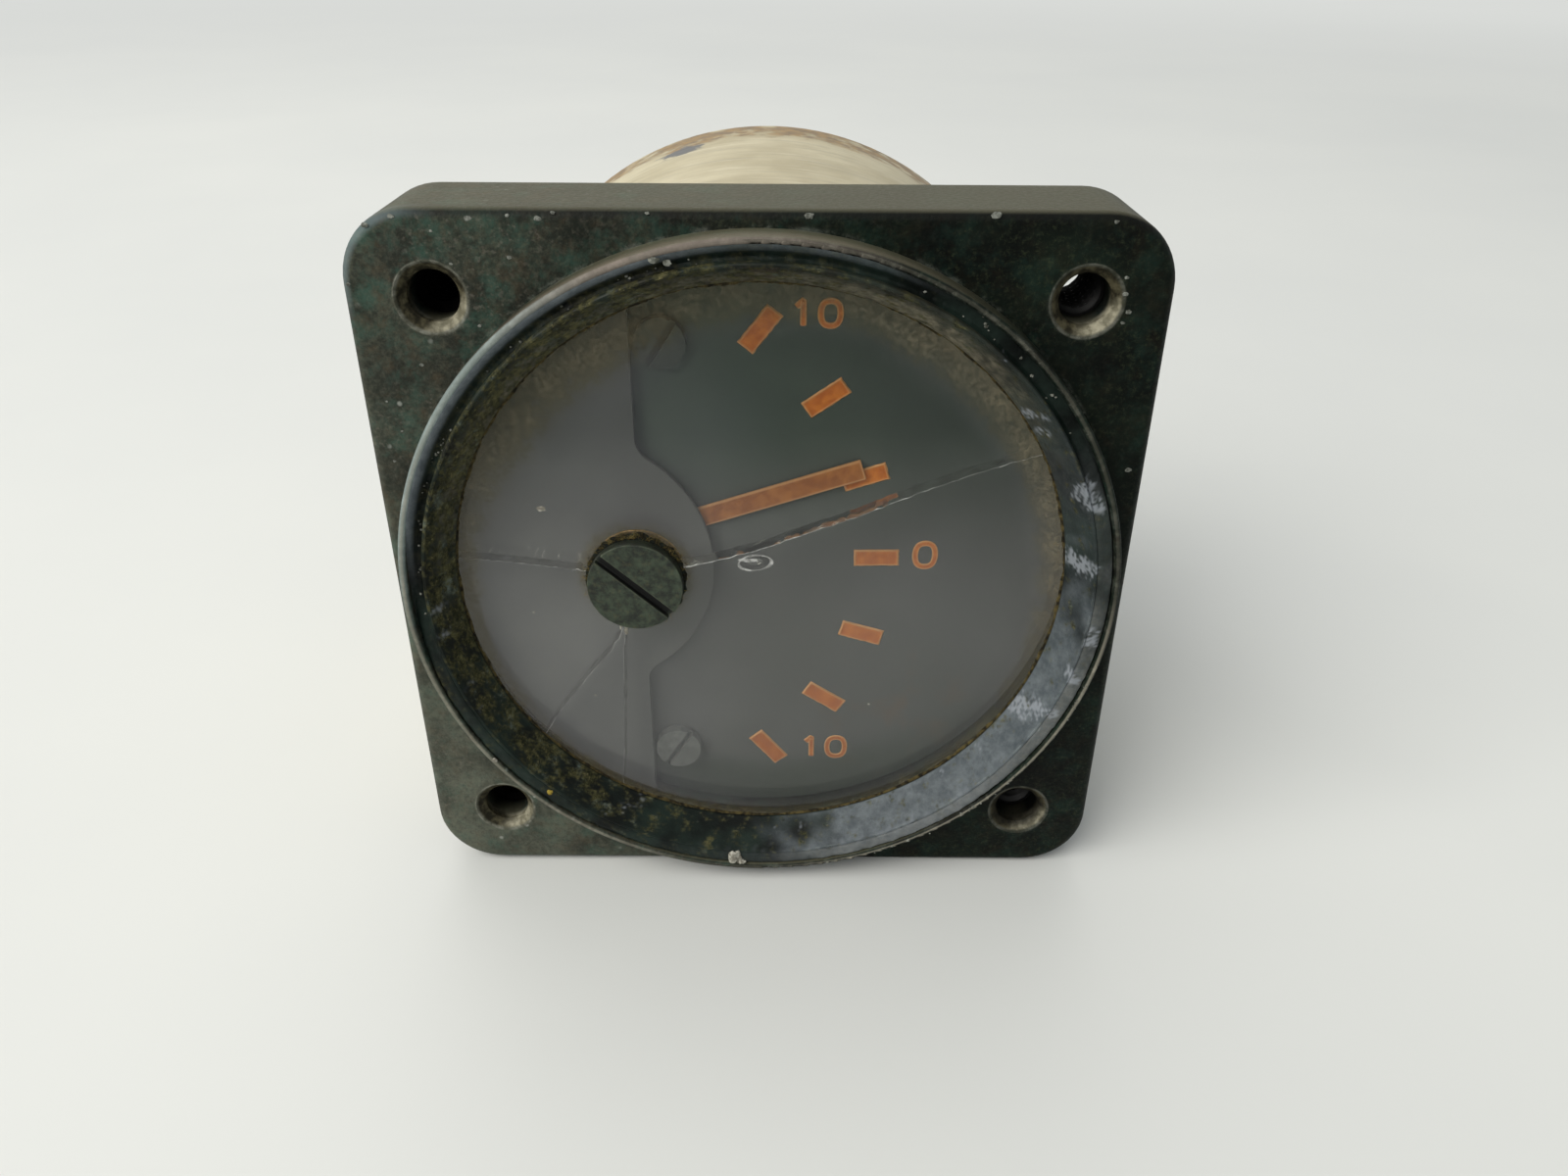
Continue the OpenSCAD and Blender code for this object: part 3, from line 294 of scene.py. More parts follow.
world = bpy.data.worlds.new("room")
bpy.context.scene.world = world
world.use_nodes = True
tree = world.node_tree
tree.nodes.clear()
add("OutputWorld", {"Surface": add("MixShader", {
    0: seen_directly(), 1: add("Background", {"Color": "#E4EAF0", "Strength": 0.38}),
    2: add("Background", {"Color": BACKDROP, "Strength": 1.0})})})


# --- Dark card ----------------------------------------------------------------------------------
# A large sheet of black paper laid on the table before the instrument, fading in with distance.
# Only mirrored rays see it: it keeps the pale table out of the sheen of the black enamel.
card_paper = empty_material("black_card")
card_shown = add("MapRange", {"Value": add("SeparateXYZ", {0: where}).outputs["Y"],
                              "From Min": -0.045, "From Max": -0.115})
add("OutputMaterial", {"Surface": add("MixShader", {
    0: card_shown, 1: add("BsdfTransparent"), 2: add("BsdfDiffuse", {"Color": "#1B1F1B"})})})
card_x, card_y = np.meshgrid([-500.0, 500.0], [-40.0, -900.0], indexing="ij")
card = surface("black_card", [np.stack([card_x, card_y, table_height(card_y) + 3], axis=2)],
               close_rows=False, close_columns=False, material=card_paper)
card.visible_camera = card.visible_diffuse = card.visible_shadow = False
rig.stage(card)


# --- Flange casting -----------------------------------------------------------------------------
# The square aluminium casting with its raised rim, four screw holes and the spigot for the case.
# It is stove-enamelled black; the enamel has gone chalky and sandy, and is rubbed off its edges. Painted light and
# shade are laid over its colour.
def pitch(mm):
    """Cells to the metre of a pattern whose grains lie this many mm apart."""
    return 1000.0 / mm


def laid_over(below, above, *masks):
    """One colour laid over another by the product of masks, each from 0 to 1."""
    return add("MixRGB", {"Fac": overlap(*masks), "Color1": below, "Color2": above})


def edge_wear(radius):
    """How far a point is on an edge: the true normal against one rounded over a radius in mm."""
    rounded = add("Bevel", {"Radius": radius / 1000}, samples=6)
    likeness = add("VectorMath", {0: rounded, 1: add("NewGeometry").outputs["Normal"]},
                   operation="DOT_PRODUCT")
    return add("MapRange", {"Value": likeness, "From Min": 0.996, "From Max": 0.90},
               interpolation_type="SMOOTHSTEP")


def noise(grain, start, end, detail=4.0, rough=0.55, least=0.0, place=None):
    """Smooth noise with grains of some mm, stretched from least to 1 between two of its levels."""
    raw = add("TexNoise", {"Vector": place or where, "Scale": pitch(grain), "Detail": detail,
                           "Roughness": rough})
    return add("MapRange", {"Value": raw, "From Min": start, "From Max": end, "To Min": least},
               interpolation_type="SMOOTHSTEP")


def along(axis, start, end, low=0.0, high=1.0, kind="LINEAR"):
    """From low to high as a point passes along an axis from one place in mm to another."""
    return add("MapRange", {"Value": add("SeparateXYZ", {0: where}).outputs[axis],
                            "From Min": start / 1000, "From Max": end / 1000, "To Min": low,
                            "To Max": high}, interpolation_type=kind)


def towards(way, start, end, low=0.0, high=1.0, place=None, kind="SMOOTHSTEP"):
    """From low to high with how far a point lies in a direction, between two distances in mm."""
    reach = add("VectorMath", {0: place or where, 1: way}, operation="DOT_PRODUCT")
    return add("MapRange", {"Value": reach, "From Min": start / 1000, "From Max": end / 1000,
                            "To Min": low, "To Max": high}, interpolation_type=kind)


def near_axis(x, z, inner, outer, place=None):
    """From 1 at the inner distance in mm from a line along Y at x and z to 0 at the outer one;
    inner may be the greater of the two."""
    moved = add("Mapping", {"Vector": place or where, "Location": (-x / 1000, 0, -z / 1000),
                            "Scale": (1, 0, 1)})
    return add("MapRange", {"Value": add("VectorMath", {0: moved}, operation="LENGTH"),
                            "From Min": outer / 1000, "From Max": inner / 1000},
               interpolation_type="SMOOTHSTEP")


def coated(colour, roughness, sockets=(), grain=0, detail=4.0, depth=0.1, strength=1.0):
    """Ends the material in hand with one coat, its bump made of grains of some mm and a depth."""
    sockets = {"Base Color": colour, "Roughness": roughness, **dict(sockets)}
    if grain:
        grains = add("TexNoise", {"Vector": where, "Scale": pitch(grain), "Detail": detail})
        sockets["Normal"] = add("Bump", {"Height": grains, "Distance": depth / 1000,
                                         "Strength": strength})
    add("OutputMaterial", {"Surface": add("BsdfPrincipled", sockets)})


def softened(name, width, material):
    """A merged copy of a CAD piece, its edges rounded to a width in mm, that stands for it."""
    work = bmesh.new()
    work.from_mesh(nodes[name].data)
    bmesh.ops.remove_doubles(work, verts=work.verts, dist=2e-6)
    bmesh.ops.dissolve_limit(work, angle_limit=np.radians(0.4), verts=work.verts,
                             edges=work.edges)
    mesh = bpy.data.meshes.new(name + "_dressed")
    work.to_mesh(mesh)
    work.free()
    mesh.shade_smooth()
    mesh.materials.clear()
    mesh.materials.append(material)
    made = bpy.data.objects.new(name + "_dressed", mesh)
    bpy.context.scene.collection.objects.link(made)
    edges = made.modifiers.new("rounded_edges", "BEVEL")
    edges.width, edges.segments = width / 1000, 3
    edges.limit_method, edges.angle_limit = "ANGLE", np.radians(32)
    edges.use_clamp_overlap = True
    flats = made.modifiers.new("flat_faces", "WEIGHTED_NORMAL")
    flats.keep_sharp = True
    stands_for(made, name)


SLOT_OF = {part["node"]: part["material_slot"] for part in frame["record"]["subparts"]}


def stands_for(made, *names):
    """The piece rides on the body of the CAD nodes that it replaces, and takes their slot."""
    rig.ride(made, nodes[names[0]]["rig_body"])
    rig.replaces(made, *names)
    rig.slot(made, SLOT_OF[names[0]])


HOLE_AT, CORNER_AT = 23.8125, 24.66
# stove enamel on a sand casting: near black and satin, grainy at a third of a millimetre, and
# mottled green, brown and grey where it has weathered, laid on more at the left, partly as painted light
flange_enamel = empty_material("stove_enamel_on_cast_aluminium")
enamel = laid_over("#050806", "#0F1811", noise(7, 0.36, 0.68, detail=7, rough=0.65))
# partly painted light: left_side and more_at_left make the face paler towards the daylight at the left, over its real
# weathering and dust
left_side, more_at_left = along("X", 8, -26), along("X", 8, -26, low=0.14)
for mottle, grain, amount in (("#2A5145", 2.6, 0.8), ("#4A3A26", 1.7, 0.5),
                              ("#26332E", 1.3, 0.4), ("#56524A", 0.5, 0.35)):
    enamel = laid_over(enamel, mottle, noise(grain, 0.46, 0.70, detail=7, rough=0.7),
                       more_at_left, amount)

# dust that lies on the face: a haze, sand and olive specks, and single grains, which are a
# millimetre or two apart and drawn a little larger than life
facing = add("SeparateXYZ", {0: add("NewGeometry").outputs["Normal"]})
towards_viewer = add("MapRange", {"Value": facing.outputs["Y"], "From Min": -0.3,
                                  "From Max": -0.8, "To Min": 0.3})
haze_grain = overlap(noise(0.5, 0.24, 0.76, detail=8, rough=0.8), noise(5, 0.3, 0.66, detail=6))
enamel = laid_over(enamel, "#686B5E", left_side, along("Z", 22, -12, low=0.42), add(
    "MapRange", {"Value": haze_grain, "To Min": 0.26}), towards_viewer)
enamel = laid_over(enamel, "#6E695F", noise(0.45, 0.54, 0.70, detail=3),
                   noise(11, 0.45, 0.62, detail=5), more_at_left, 0.4)
enamel = laid_over(enamel, "#38422A", noise(0.5, 0.50, 0.64, detail=8, rough=0.85),
                   noise(5, 0.34, 0.6, detail=5), towards_viewer, 0.4)
dust_cells = add("TexVoronoi", {"Vector": where, "Scale": pitch(1.9)})
single_grains = add("MapRange", {"Value": dust_cells, "From Min": 0.13, "From Max": 0.06})
enamel = laid_over(enamel, "#9C9F97", single_grains, noise(3.5, 0.46, 0.6, detail=3), left_side,
                   0.6)

# rubbed edges, paler at the left partly as a painted highlight; a painted shadow as a dark line along the top of the
# front edge; and a painted highlight on its upper left corner
RUBBED = 2.0, 0.46, 0.66, 6, 0.7
enamel = laid_over(enamel, "#777B72", edge_wear(0.7), noise(*RUBBED),
                   along("X", 8, -26, low=0.4, high=0.9))
mirrored = add("VectorMath", {0: where}, operation="ABSOLUTE")
past_straight = add("VectorMath", {0: add("VectorMath", {
    0: mirrored, 1: (CORNER_AT / 1000, 1, CORNER_AT / 1000)}, operation="SUBTRACT")},
    operation="MAXIMUM")
to_outline = add("VectorMath", {0: past_straight}, operation="LENGTH")
in_front = along("Y", -7.8, -8.5)
front_edge = overlap(in_front, add("MapRange", {"Value": to_outline, "From Min": 0.00475,
                                                "From Max": 0.00515}))
enamel = laid_over(enamel, "#060806", front_edge, along("Z", 28.2, 29.0, high=0.75))
enamel = laid_over(enamel, "#8A9C9E", front_edge, near_axis(-29, 28, 2, 7), 0.3)

# the rim's crest, rubbed and given a painted highlight at the upper left, its outer wall paler there, and a painted
# highlight as a fine bright line near its outer edge
crest = along("Y", -11.65, -12.0)
enamel = laid_over(enamel, laid_over("#7F756C", "#8C9996", towards((-1, 0, 0), 10, 22)), crest,
                   towards((-0.64, 0, 0.77), 13, 25), noise(*RUBBED, least=0.7))
wall_top = overlap(along("Y", -10.4, -11.6), towards((-0.5, 0, 0.87), 12, 24), 0.6)
on_wall = add("Math", {0: wall_top, 1: crest}, operation="SUBTRACT", use_clamp=True)
enamel = laid_over(enamel, "#6E6259", on_wall)
bright_line_highlight = add("Math", {0: towards((0.743, 0, -0.669), 19, 25), 1: towards(
    (-0.94, 0, -0.34), 14, 24, low=0.18, high=0.65)}, operation="MAXIMUM")
enamel = laid_over(enamel, "#8E8A7C", crest, near_axis(0, 0, 28.72, 28.84),
                   near_axis(0, 0, 28.56, 28.46), bright_line_highlight, noise(*RUBBED, least=0.6))
settled = add("MapRange", {"Value": facing.outputs["Z"], "From Min": 0.70, "From Max": 0.97,
                           "To Max": 0.44})
enamel = laid_over(enamel, "#6E6C58", settled, near_axis(0, 0, 28.36, 28.25))

# the coned mouths of the holes, worn pale at their rims and more so at the left, with a painted highlight on the side
# that faces the daylight, and painted shade in their dark bores, deepest in the lower right hole
mouth_grain = noise(0.7, 0.36, 0.68, detail=6)
enamel = laid_over(enamel, laid_over("#4A4A3E", "#85857A", mouth_grain), in_front,
                   near_axis(HOLE_AT, HOLE_AT, 2.72, 2.86, mirrored),
                   along("X", 8, -26, low=0.35, high=0.75))
own_hole = add("VectorMath", {0: add("VectorMath", {0: where}, operation="SIGN"),
                              1: (HOLE_AT / 1000, 0, HOLE_AT / 1000)}, operation="MULTIPLY")
from_hole = add("VectorMath", {0: where, 1: own_hole}, operation="SUBTRACT")
mouth = laid_over(laid_over("#211F16", "#4E4A38", mouth_grain),
                  laid_over("#63604F", "#97937F", mouth_grain),
                  towards((0.64, 0, -0.77), 1.0, 2.1, place=from_hole))
enamel = laid_over(enamel, mouth, in_front, near_axis(HOLE_AT, HOLE_AT, 2.45, 2.65, mirrored))
deep = add("Math", {0: along("Y", -8.8, -6.2), 1: towards(
    (1, 0, -1), 30, 40, high=0.8, kind="LINEAR")}, operation="MAXIMUM")
enamel = laid_over(enamel, "#070706", deep, near_axis(HOLE_AT, HOLE_AT, 1.98, 2.6, mirrored))
cast_grain = add("TexNoise", {"Vector": where, "Scale": pitch(0.35), "Detail": 4.0})
coated(enamel, add("MapRange", {"Value": cast_grain, "To Min": 0.40, "To Max": 0.66}), {
    "IOR": 1.5, "Specular IOR Level": 0.1}, grain=0.35, depth=0.1, strength=0.55)
softened("bezel_flange", 0.18, flange_enamel)


# --- Threads in the screw holes -----------------------------------------------------------------
# Steel thread inserts deep in the four holes, turned at 0.8 mm to the thread. The left pair is
# near black and matt, and the right pair is dark and oily.
def thread_metal(name, dark, light, roughness, specular):
    """A thread's metal: two tones clouded over 0.6 mm under one gloss."""
    made = empty_material(name)
    coated(laid_over(dark, light, noise(0.6, 0.36, 0.66)), roughness,
           {"IOR": 1.5, "Specular IOR Level": specular})
    return made


def round_axis(radius, angle, y, x=0.0, z=0.0):
    """Points at radii and angles round a line along Y at x and z."""
    radius, angle, y = np.broadcast_arrays(radius, angle, y)
    return np.stack([x + radius * np.cos(angle), y, z + radius * np.sin(angle)], axis=-1)


THREAD_PITCH, THREAD_ROOT, THREAD_FROM, THREAD_TO = 0.794, 1.93, -6.3, -0.05


def screw_thread(x, z, crest):
    """The thread in a hole: a sleeve whose radius is a sawtooth that climbs a pitch each turn."""
    y = np.arange(THREAD_FROM, THREAD_TO, 0.05)[:, None]
    turn = all_round(48).T
    tooth = abs(((y / THREAD_PITCH - turn / (2 * np.pi)) % 1) * 2 - 1)
    whole = np.clip((y - THREAD_FROM) / 0.5, 0, 1)
    radius = THREAD_ROOT + (crest - THREAD_ROOT) * tooth * whole
    return np.concatenate([round_axis(radius, turn, y, x, z),
                           round_axis(THREAD_ROOT + 0.03, turn, y, x, z)[::-1]])


for side, x, crest_r, skin in (
        ("left", -HOLE_AT, 1.24, thread_metal("matt_black_thread", "#020202", "#080706", 0.9, 0.05)),
        ("right", HOLE_AT, 1.43, thread_metal("oily_steel_thread", "#030303", "#0C0B0A", 0.55,
                                              0.35))):
    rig.ride(surface("screw_hole_threads_" + side, [
        screw_thread(x, z, crest_r) for z in (-HOLE_AT, HOLE_AT)], material=skin), "housing")


# --- Retaining ring -----------------------------------------------------------------------------
# An aluminium ring screwed into the rim, coned down to the window, with a dark groove round it.
# Its black finish is worn at the crest, bare with a painted sheen at the lower right, dusty at the left, and has white
# corrosion at the right.
def lumps(points, size, seed):
    """Smooth noise of about unit spread: a sum of 28 plane waves a size in mm long, seeded."""
    waves, rng = 28, np.random.default_rng(seed)
    ways = rng.normal(size=(waves, 3))
    ways /= np.linalg.norm(ways, axis=1)[:, None] * size * rng.uniform(0.6, 1.7, (waves, 1))
    phases = rng.uniform(0, 2 * np.pi, waves)
    return np.cos(2 * np.pi * points @ ways.T + phases).sum(axis=-1) * np.sqrt(2 / waves)


def smooth_step(value, start, end):
    """0 before start, 1 after end, and a smooth cubic between."""
    t = np.clip((value - start) / (end - start), 0, 1)
    return t * t * (3 - 2 * t)


def finer(profile, step, closed=True):
    """The profile's line with points a step apart, its corners kept."""
    ends = np.roll(profile, -1, axis=0) if closed else profile[1:]
    starts = profile if closed else profile[:-1]
    counts = np.maximum(1, np.ceil(np.linalg.norm(ends - starts, axis=1) / step).astype(int))
    parts = [a + (b - a) * (np.arange(n) / n)[:, None]
             for a, b, n in zip(starts, ends, counts)]
    return np.concatenate(parts if closed else parts + [profile[-1:]])


def eased(profile, times_cut, closed=True):
    """The profile with each corner cut at a quarter of its sides, once or more."""
    for _ in range(times_cut):
        ends = np.roll(profile, -1, axis=0) if closed else profile[1:]
        starts = profile if closed else profile[:-1]
        cut = np.stack([0.75 * starts + 0.25 * ends, 0.25 * starts + 0.75 * ends], axis=1)
        cut = cut.reshape(-1, profile.shape[1])
        profile = cut if closed else np.concatenate([profile[:1], cut, profile[-1:]])
    return profile


def bell(value, centre, width, turn=None):
    """A bell curve: 1 at the centre, lower with distance over a width, round a turn or not."""
    off = value - centre
    off = (off + turn / 2) % turn - turn / 2 if turn else off
    return np.exp(-(off / width) ** 2)


# patches of white corrosion: bearing in degrees, radius in mm, reach and strength of each
CORRODED = [(6, 26.2, 1.1, 1.0), (7, 25.5, 0.7, 0.9), (18, 27.5, 0.9, 0.9), (20.5, 26.7, 0.9, 1.0),
            (22.5, 27.2, 0.6, 0.8), (33, 25.7, 0.6, 0.8), (36, 26.4, 0.5, 0.6),
            (37, 25.5, 0.6, 0.8), (49, 26.9, 0.5, 0.5), (331, 25.4, 0.7, 0.9),
            (333.5, 25.7, 0.9, 1.0), (335.5, 26.5, 0.8, 0.9), (336.5, 27.5, 0.6, 0.7),
            (344, 27.5, 0.7, 1.0), (345.5, 26.8, 0.6, 0.8), (351.5, 27.6, 0.7, 1.0),
            (354, 27.4, 0.7, 0.9), (320, 25.4, 0.5, 0.6), (310, 25.3, 0.5, 0.5),
            (238, 26.5, 0.6, 0.5), (241, 25.9, 0.6, 0.55), (244, 25.5, 0.6, 0.5),
            (257, 27.6, 0.5, 0.5), (272.5, 25.9, 0.5, 0.5), (278, 25.6, 0.5, 0.5),
            (183, 26.4, 0.8, 0.5), (188, 26.4, 0.7, 0.5), (200, 26.4, 0.6, 0.45),
            (205, 26.6, 0.5, 0.5)]


def ring_wear(points, facing):
    """Shares of dirt, bare metal with a painted sheen at the lower right, dust and white corrosion at
    points of the ring's face: bells and steps of the bearing and the radius, broken up by lumps."""
    radius = np.hypot(points[..., 0], points[..., 2])
    bearing = np.degrees(np.arctan2(points[..., 2], points[..., 0]))
    # painted shade: the dirt is thinned on the crest at the lower left, so the crest there stays dark
    dirt_and_crest_shade = (0.95 * bell(bearing, 165, 45, 360) + 0.65 * bell(bearing, -138, 40, 360)
                  + 0.75 * bell(bearing, 105, 38, 360)) * (
        1 - 0.85 * smooth_step(radius, 26.5, 27.0) * bell(bearing, -145, 50, 360))
    dirt = smooth_step(dirt_and_crest_shade + 0.3 * lumps(points, 1.7, 11) + 0.3 * lumps(points, 0.5, 12),
                       0.35, 1.25)
    onward = (bearing - 90) % 360 + 90 + 4 * lumps(points, 3, 14)
    # bare metal, together with a painted sheen where the lower right faces the daylight
    bare_and_sheen = np.maximum(smooth_step(onward, 270, 289) * (1 - smooth_step(onward, 336, 376)),
                      0.22 * bell(bearing, 22, 20, 360))
    inner_half = 0.12 + 0.88 * smooth_step(-radius, -26.8, -25.7)
    dusty = (0.95 * bell(bearing, 62, 21, 360) + 0.36 * bell(bearing, 108, 26, 360)
             + 0.4 * bell(bearing, 150, 26, 360)) * inner_half * (1 + 0.3 * lumps(points, 1.4, 19))
    rusted = sum(strength * np.exp(-(
        (points[..., 0] - r * np.cos(np.radians(b))) ** 2
        + (points[..., 2] - r * np.sin(np.radians(b))) ** 2) / reach ** 2)
        for b, r, reach, strength in CORRODED)
    corrosion = smooth_step(rusted * (1 + 0.3 * lumps(points, 1.1, 15)
                                      + 0.5 * lumps(points, 0.35, 16)), 0.4, 1.3)
    return {"dirt": dirt * facing, "bare_and_sheen": bare_and_sheen * facing,
            "dusty": np.clip(dusty, 0, 1) * facing, "corrosion": np.maximum(
                corrosion, 0.35 * bell(bearing, -60, 26, 360) * smooth_step(
                    radius + 0.2 * lumps(points, 0.8, 20), 26.6, 27.2)) * facing}


ring_profile = finer(np.array([
    [25.1, -9.08], [25.1, -8.8], [28.28, -8.8], [28.28, -10.2], [27.15, -10.2], [27.15, -11.72],
    [27.1, -11.9], [26.98, -12.0], [26.84, -11.98], [26.0, -10.55], [25.25, -9.3]]), 0.12)
ring_points = round_axis(ring_profile[:, 0], all_round(800), ring_profile[:, 1])
ring_face = (ring_points[..., 1] < -9.05) * (
    np.hypot(ring_points[..., 0], ring_points[..., 2]) < 27.2)
ring_worn = ring_wear(ring_points, ring_face)
ring_points[..., 1] -= ring_face * np.clip(
    0.012 * lumps(ring_points, 4, 14) + ring_worn["dirt"] * (
        0.02 + 0.03 * lumps(ring_points, 0.45, 17))
    + ring_worn["corrosion"] * (0.03 + 0.02 * lumps(ring_points, 0.3, 18)), -0.05, 0.09)

# machined and anodised black: a dark satin film, grey metal where it is bare and where the lower right takes a painted
# sheen, olive where dirty
ring_metal = empty_material("black_anodised_aluminium")
bare_and_sheen, dusty, dirt, salts = (add("Attribute", attribute_name=name).outputs["Fac"]
                            for name in ("bare_and_sheen", "dusty", "dirt", "corrosion"))
film = laid_over("#0B0F0D", "#1D2823", noise(4, 0.36, 0.68, detail=7))
for dark, light, levels, detail, rough, shares in (
        ("#434A4E", "#666D70", (1.3, 0.28, 0.76), 9, 0.7, (bare_and_sheen,)),
        ("#46463A", "#827B69", (0.6, 0.32, 0.7), 8, 0.8, (dusty,)),
        ("#11160D", "#65623F", (0.8, 0.38, 0.68), 9, 0.85, (dirt, 0.8))):
    film = laid_over(film, laid_over(dark, light, noise(*levels, detail, rough)), *shares)
film = laid_over(film, "#8C8460", noise(0.35, 0.56, 0.66, detail=6, rough=0.8), dirt, 0.5)
film = laid_over(film, "#6C7A76", noise(1.8, 0.52, 0.72, detail=8, rough=0.8), dirt, 0.6)
film = laid_over(film, "#7D8583", edge_wear(0.3), noise(1.1, 0.44, 0.66, detail=5), bare_and_sheen)
film = laid_over(film, "#949AA0", salts, 0.65)
dulled = add("Math", {0: dirt, 1: salts}, operation="MAXIMUM")
coated(film, add("MapRange", {"Value": dulled, "To Min": 0.42, "To Max": 0.85}), {
    "IOR": 1.5, "Specular IOR Level": 0.13}, grain=0.3, depth=0.06, strength=0.5)
ring = surface("retaining_ring_dressed", [ring_points], material=ring_metal, attributes={
    name: [share] for name, share in ring_worn.items()})
stands_for(ring, "retaining_ring")


# --- Sealing compound in the ring's groove ------------------------------------------------------
# A run of putty between the ring and the rim, blackened with the ring. It is flush with the crest
# in the lower half, sunk at the upper right, and wiped smooth against the rim at the upper left.
# The three depths below are those of the points across the groove, at each of these places.
GROOVE_R = np.array([27.08, 27.2, 27.4, 27.6, 27.8, 28.0, 28.12, 28.22, 28.28, 28.33, 28.42])
FLUSH = np.array([-11.9, -11.97, -11.98, -11.97, -11.96, -11.94, -11.9, -11.85, -11.6, -11.5,
                  -11.5])
SUNK = np.array([-11.5, -11.2, -11.0, -11.0, -11.0, -11.0, -11.0, -11.0, -11.05, -11.1, -11.15])
SMOOTHED = np.array([-11.5, -11.3, -11.2, -11.25, -11.45, -11.75, -11.88, -11.95, -11.98, -12.0,
                     -12.0])
turning = all_round(1000)
onward = (np.degrees(turning) - 90) % 360 + 90
flush = smooth_step(onward, 176, 200) * (1 - smooth_step(onward, 374, 394))
smoothed = (1 - flush) * (1 - smooth_step(abs(np.degrees(turning) - 120), 44, 62))
sealing = round_axis(GROOVE_R, turning, flush * FLUSH + smoothed * SMOOTHED
                     + (1 - flush - smoothed) * SUNK)
sealing_worn = ring_wear(sealing, 1.0)
# the smoothed run's outer edge at the upper left takes the same pale share of bare metal and painted sheen
wiped = smoothed * smooth_step(GROOVE_R, 27.75, 28.0) * (
    0.45 + 0.55 * smooth_step(np.degrees(turning), 92, 112))
sealing_worn["bare_and_sheen"] = np.maximum(sealing_worn["bare_and_sheen"] * flush, wiped)
sealing_worn["dirt"] = sealing_worn["dirt"] * (0.5 * flush + 0.35 * smoothed) * (1 - wiped)
sealing_worn["dusty"] = 0.3 * sealing_worn["bare_and_sheen"] * flush
sealing[..., 1] -= (0.02 * lumps(sealing, 0.9, 25) + 0.012 * lumps(sealing, 0.3, 26)) * (1 - wiped)
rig.ride(surface("ring_groove_sealing", [sealing], close_columns=False, material=ring_metal,
                attributes={name: [share] for name, share in sealing_worn.items()}), "housing")


# --- Corrosion and grime round the rim ----------------------------------------------------------
# Lumps of white aluminium salts and grains of grit on the rim, chips in the flange's enamel, and
# a line of dried grease and dust that has gathered where the ring's lip meets the window.
def grime(name, dark, light):
    """Dried dirt: two tones clouded over 0.5 mm, matt, with grains of 0.2 mm in its bump."""
    made = empty_material(name)
    coated(laid_over(dark, light, noise(0.5, 0.35, 0.68, detail=6)), 0.85,
           {"IOR": 1.45, "Specular IOR Level": 0.2}, grain=0.2)
    return made


WINDOW_FRONT, WINDOW_BACK = -8.8, -6.4
# a low bank of dirt, five points across, that reaches in over the window by a wandering amount
round_it = all_round(1000)
at_lip = round_axis(25, round_it, 0)
lip_reach = np.clip(0.2 + 0.05 * lumps(at_lip, 3, 21) + 0.02 * lumps(at_lip, 0.6, 22), 0.05, 0.4)
outward = np.linspace(0, 1, 5)
lip_dirt = round_axis(25.12 - lip_reach + (0.02 + lip_reach) * outward, round_it,
                      WINDOW_FRONT - np.array([-0.02, 0.05, 0.11, 0.15, 0.16]))
lip_dirt[..., 1] -= 0.02 * lumps(lip_dirt, 0.35, 23)
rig.ride(surface("window_edge_grime", [lip_dirt], close_columns=False, material=grime(
    "dried_grease_and_dust", "#14110A", "#4F4629")), "housing")

# salts of aluminium, dried on: off-white, chalky and without any gloss
white_salts = empty_material("white_aluminium_salts")
coated(laid_over("#726E63", "#A9A79B", noise(0.35, 0.4, 0.62)), 0.9, {"IOR": 1.5})


def crumb(x, y, z, width, depth, height, seed):
    """A ball of 16 by 24 points, squashed to its sizes and made lumpy by noise on its radius."""
    polar = np.linspace(0, np.pi, 16)[:, None]
    round_it = all_round(24).T
    ball = np.stack([np.sin(polar) * np.cos(round_it), np.cos(polar) + 0 * round_it,
                     np.sin(polar) * np.sin(round_it)], axis=2)
    ball *= (1 + 0.13 * lumps(ball, 1.1, seed) + 0.06 * lumps(ball, 0.4, seed + 1))[..., None]
    return ball * np.array([width, depth, height]) / 2 + np.array([x, y, z])


def scattered(seed, count, bearings, radius, spread, y, sizes, thick):
    """Crumbs strewn round the dial's axis between two bearings, with seeded places and sizes."""
    rng = np.random.default_rng(seed)
    at, away = np.radians(rng.uniform(*bearings, count)), rng.normal(radius, spread, count)
    return [crumb(away[i] * np.cos(at[i]), y, away[i] * np.sin(at[i]), size, thick, 0.8 * size,
                  seed + 2 * i) for i, size in enumerate(rng.uniform(*sizes, count))]


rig.ride(surface("rim_salts", [
    crumb(-2.5, -11.95, -27.5, 1.15, 0.7, 1.4, 31), crumb(-1.9, -11.9, -28.1, 0.8, 0.5, 0.6, 33),
    crumb(-23.4, -12.05, -16.3, 0.5, 0.2, 0.4, 39)], close_rows=False, material=white_salts),
    "housing")
grit = [crumb(-7.24, -12.05, 27.3, 0.7, 0.2, 0.45, 35),
        crumb(-6.3, -12.05, 27.1, 0.6, 0.2, 0.42, 37),
        *scattered(41, 14, (-150, -30), 28.6, 0.15, -12.06, (0.14, 0.32), 0.1),
        *scattered(81, 20, (25, 90), 27.6, 0.3, -11.05, (0.1, 0.3), 0.2),
        *scattered(131, 40, (98, 185), 27.45, 0.2, -11.3, (0.08, 0.24), 0.15),
        *scattered(231, 30, (-75, -12), 28.6, 0.12, -12.08, (0.08, 0.2), 0.08)]
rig.ride(surface("rim_grit", grit, close_rows=False, material=grime(
    "grey_grit", "#45473F", "#8F9188")), "housing")
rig.ride(surface("ring_varnish_drop", [crumb(-18.87, -12.02, -19.91, 0.55, 0.16, 0.5, 121)],
                close_rows=False, material=grime("yellow_varnish_drop", "#6E5E22", "#A8923F")),
        "housing")

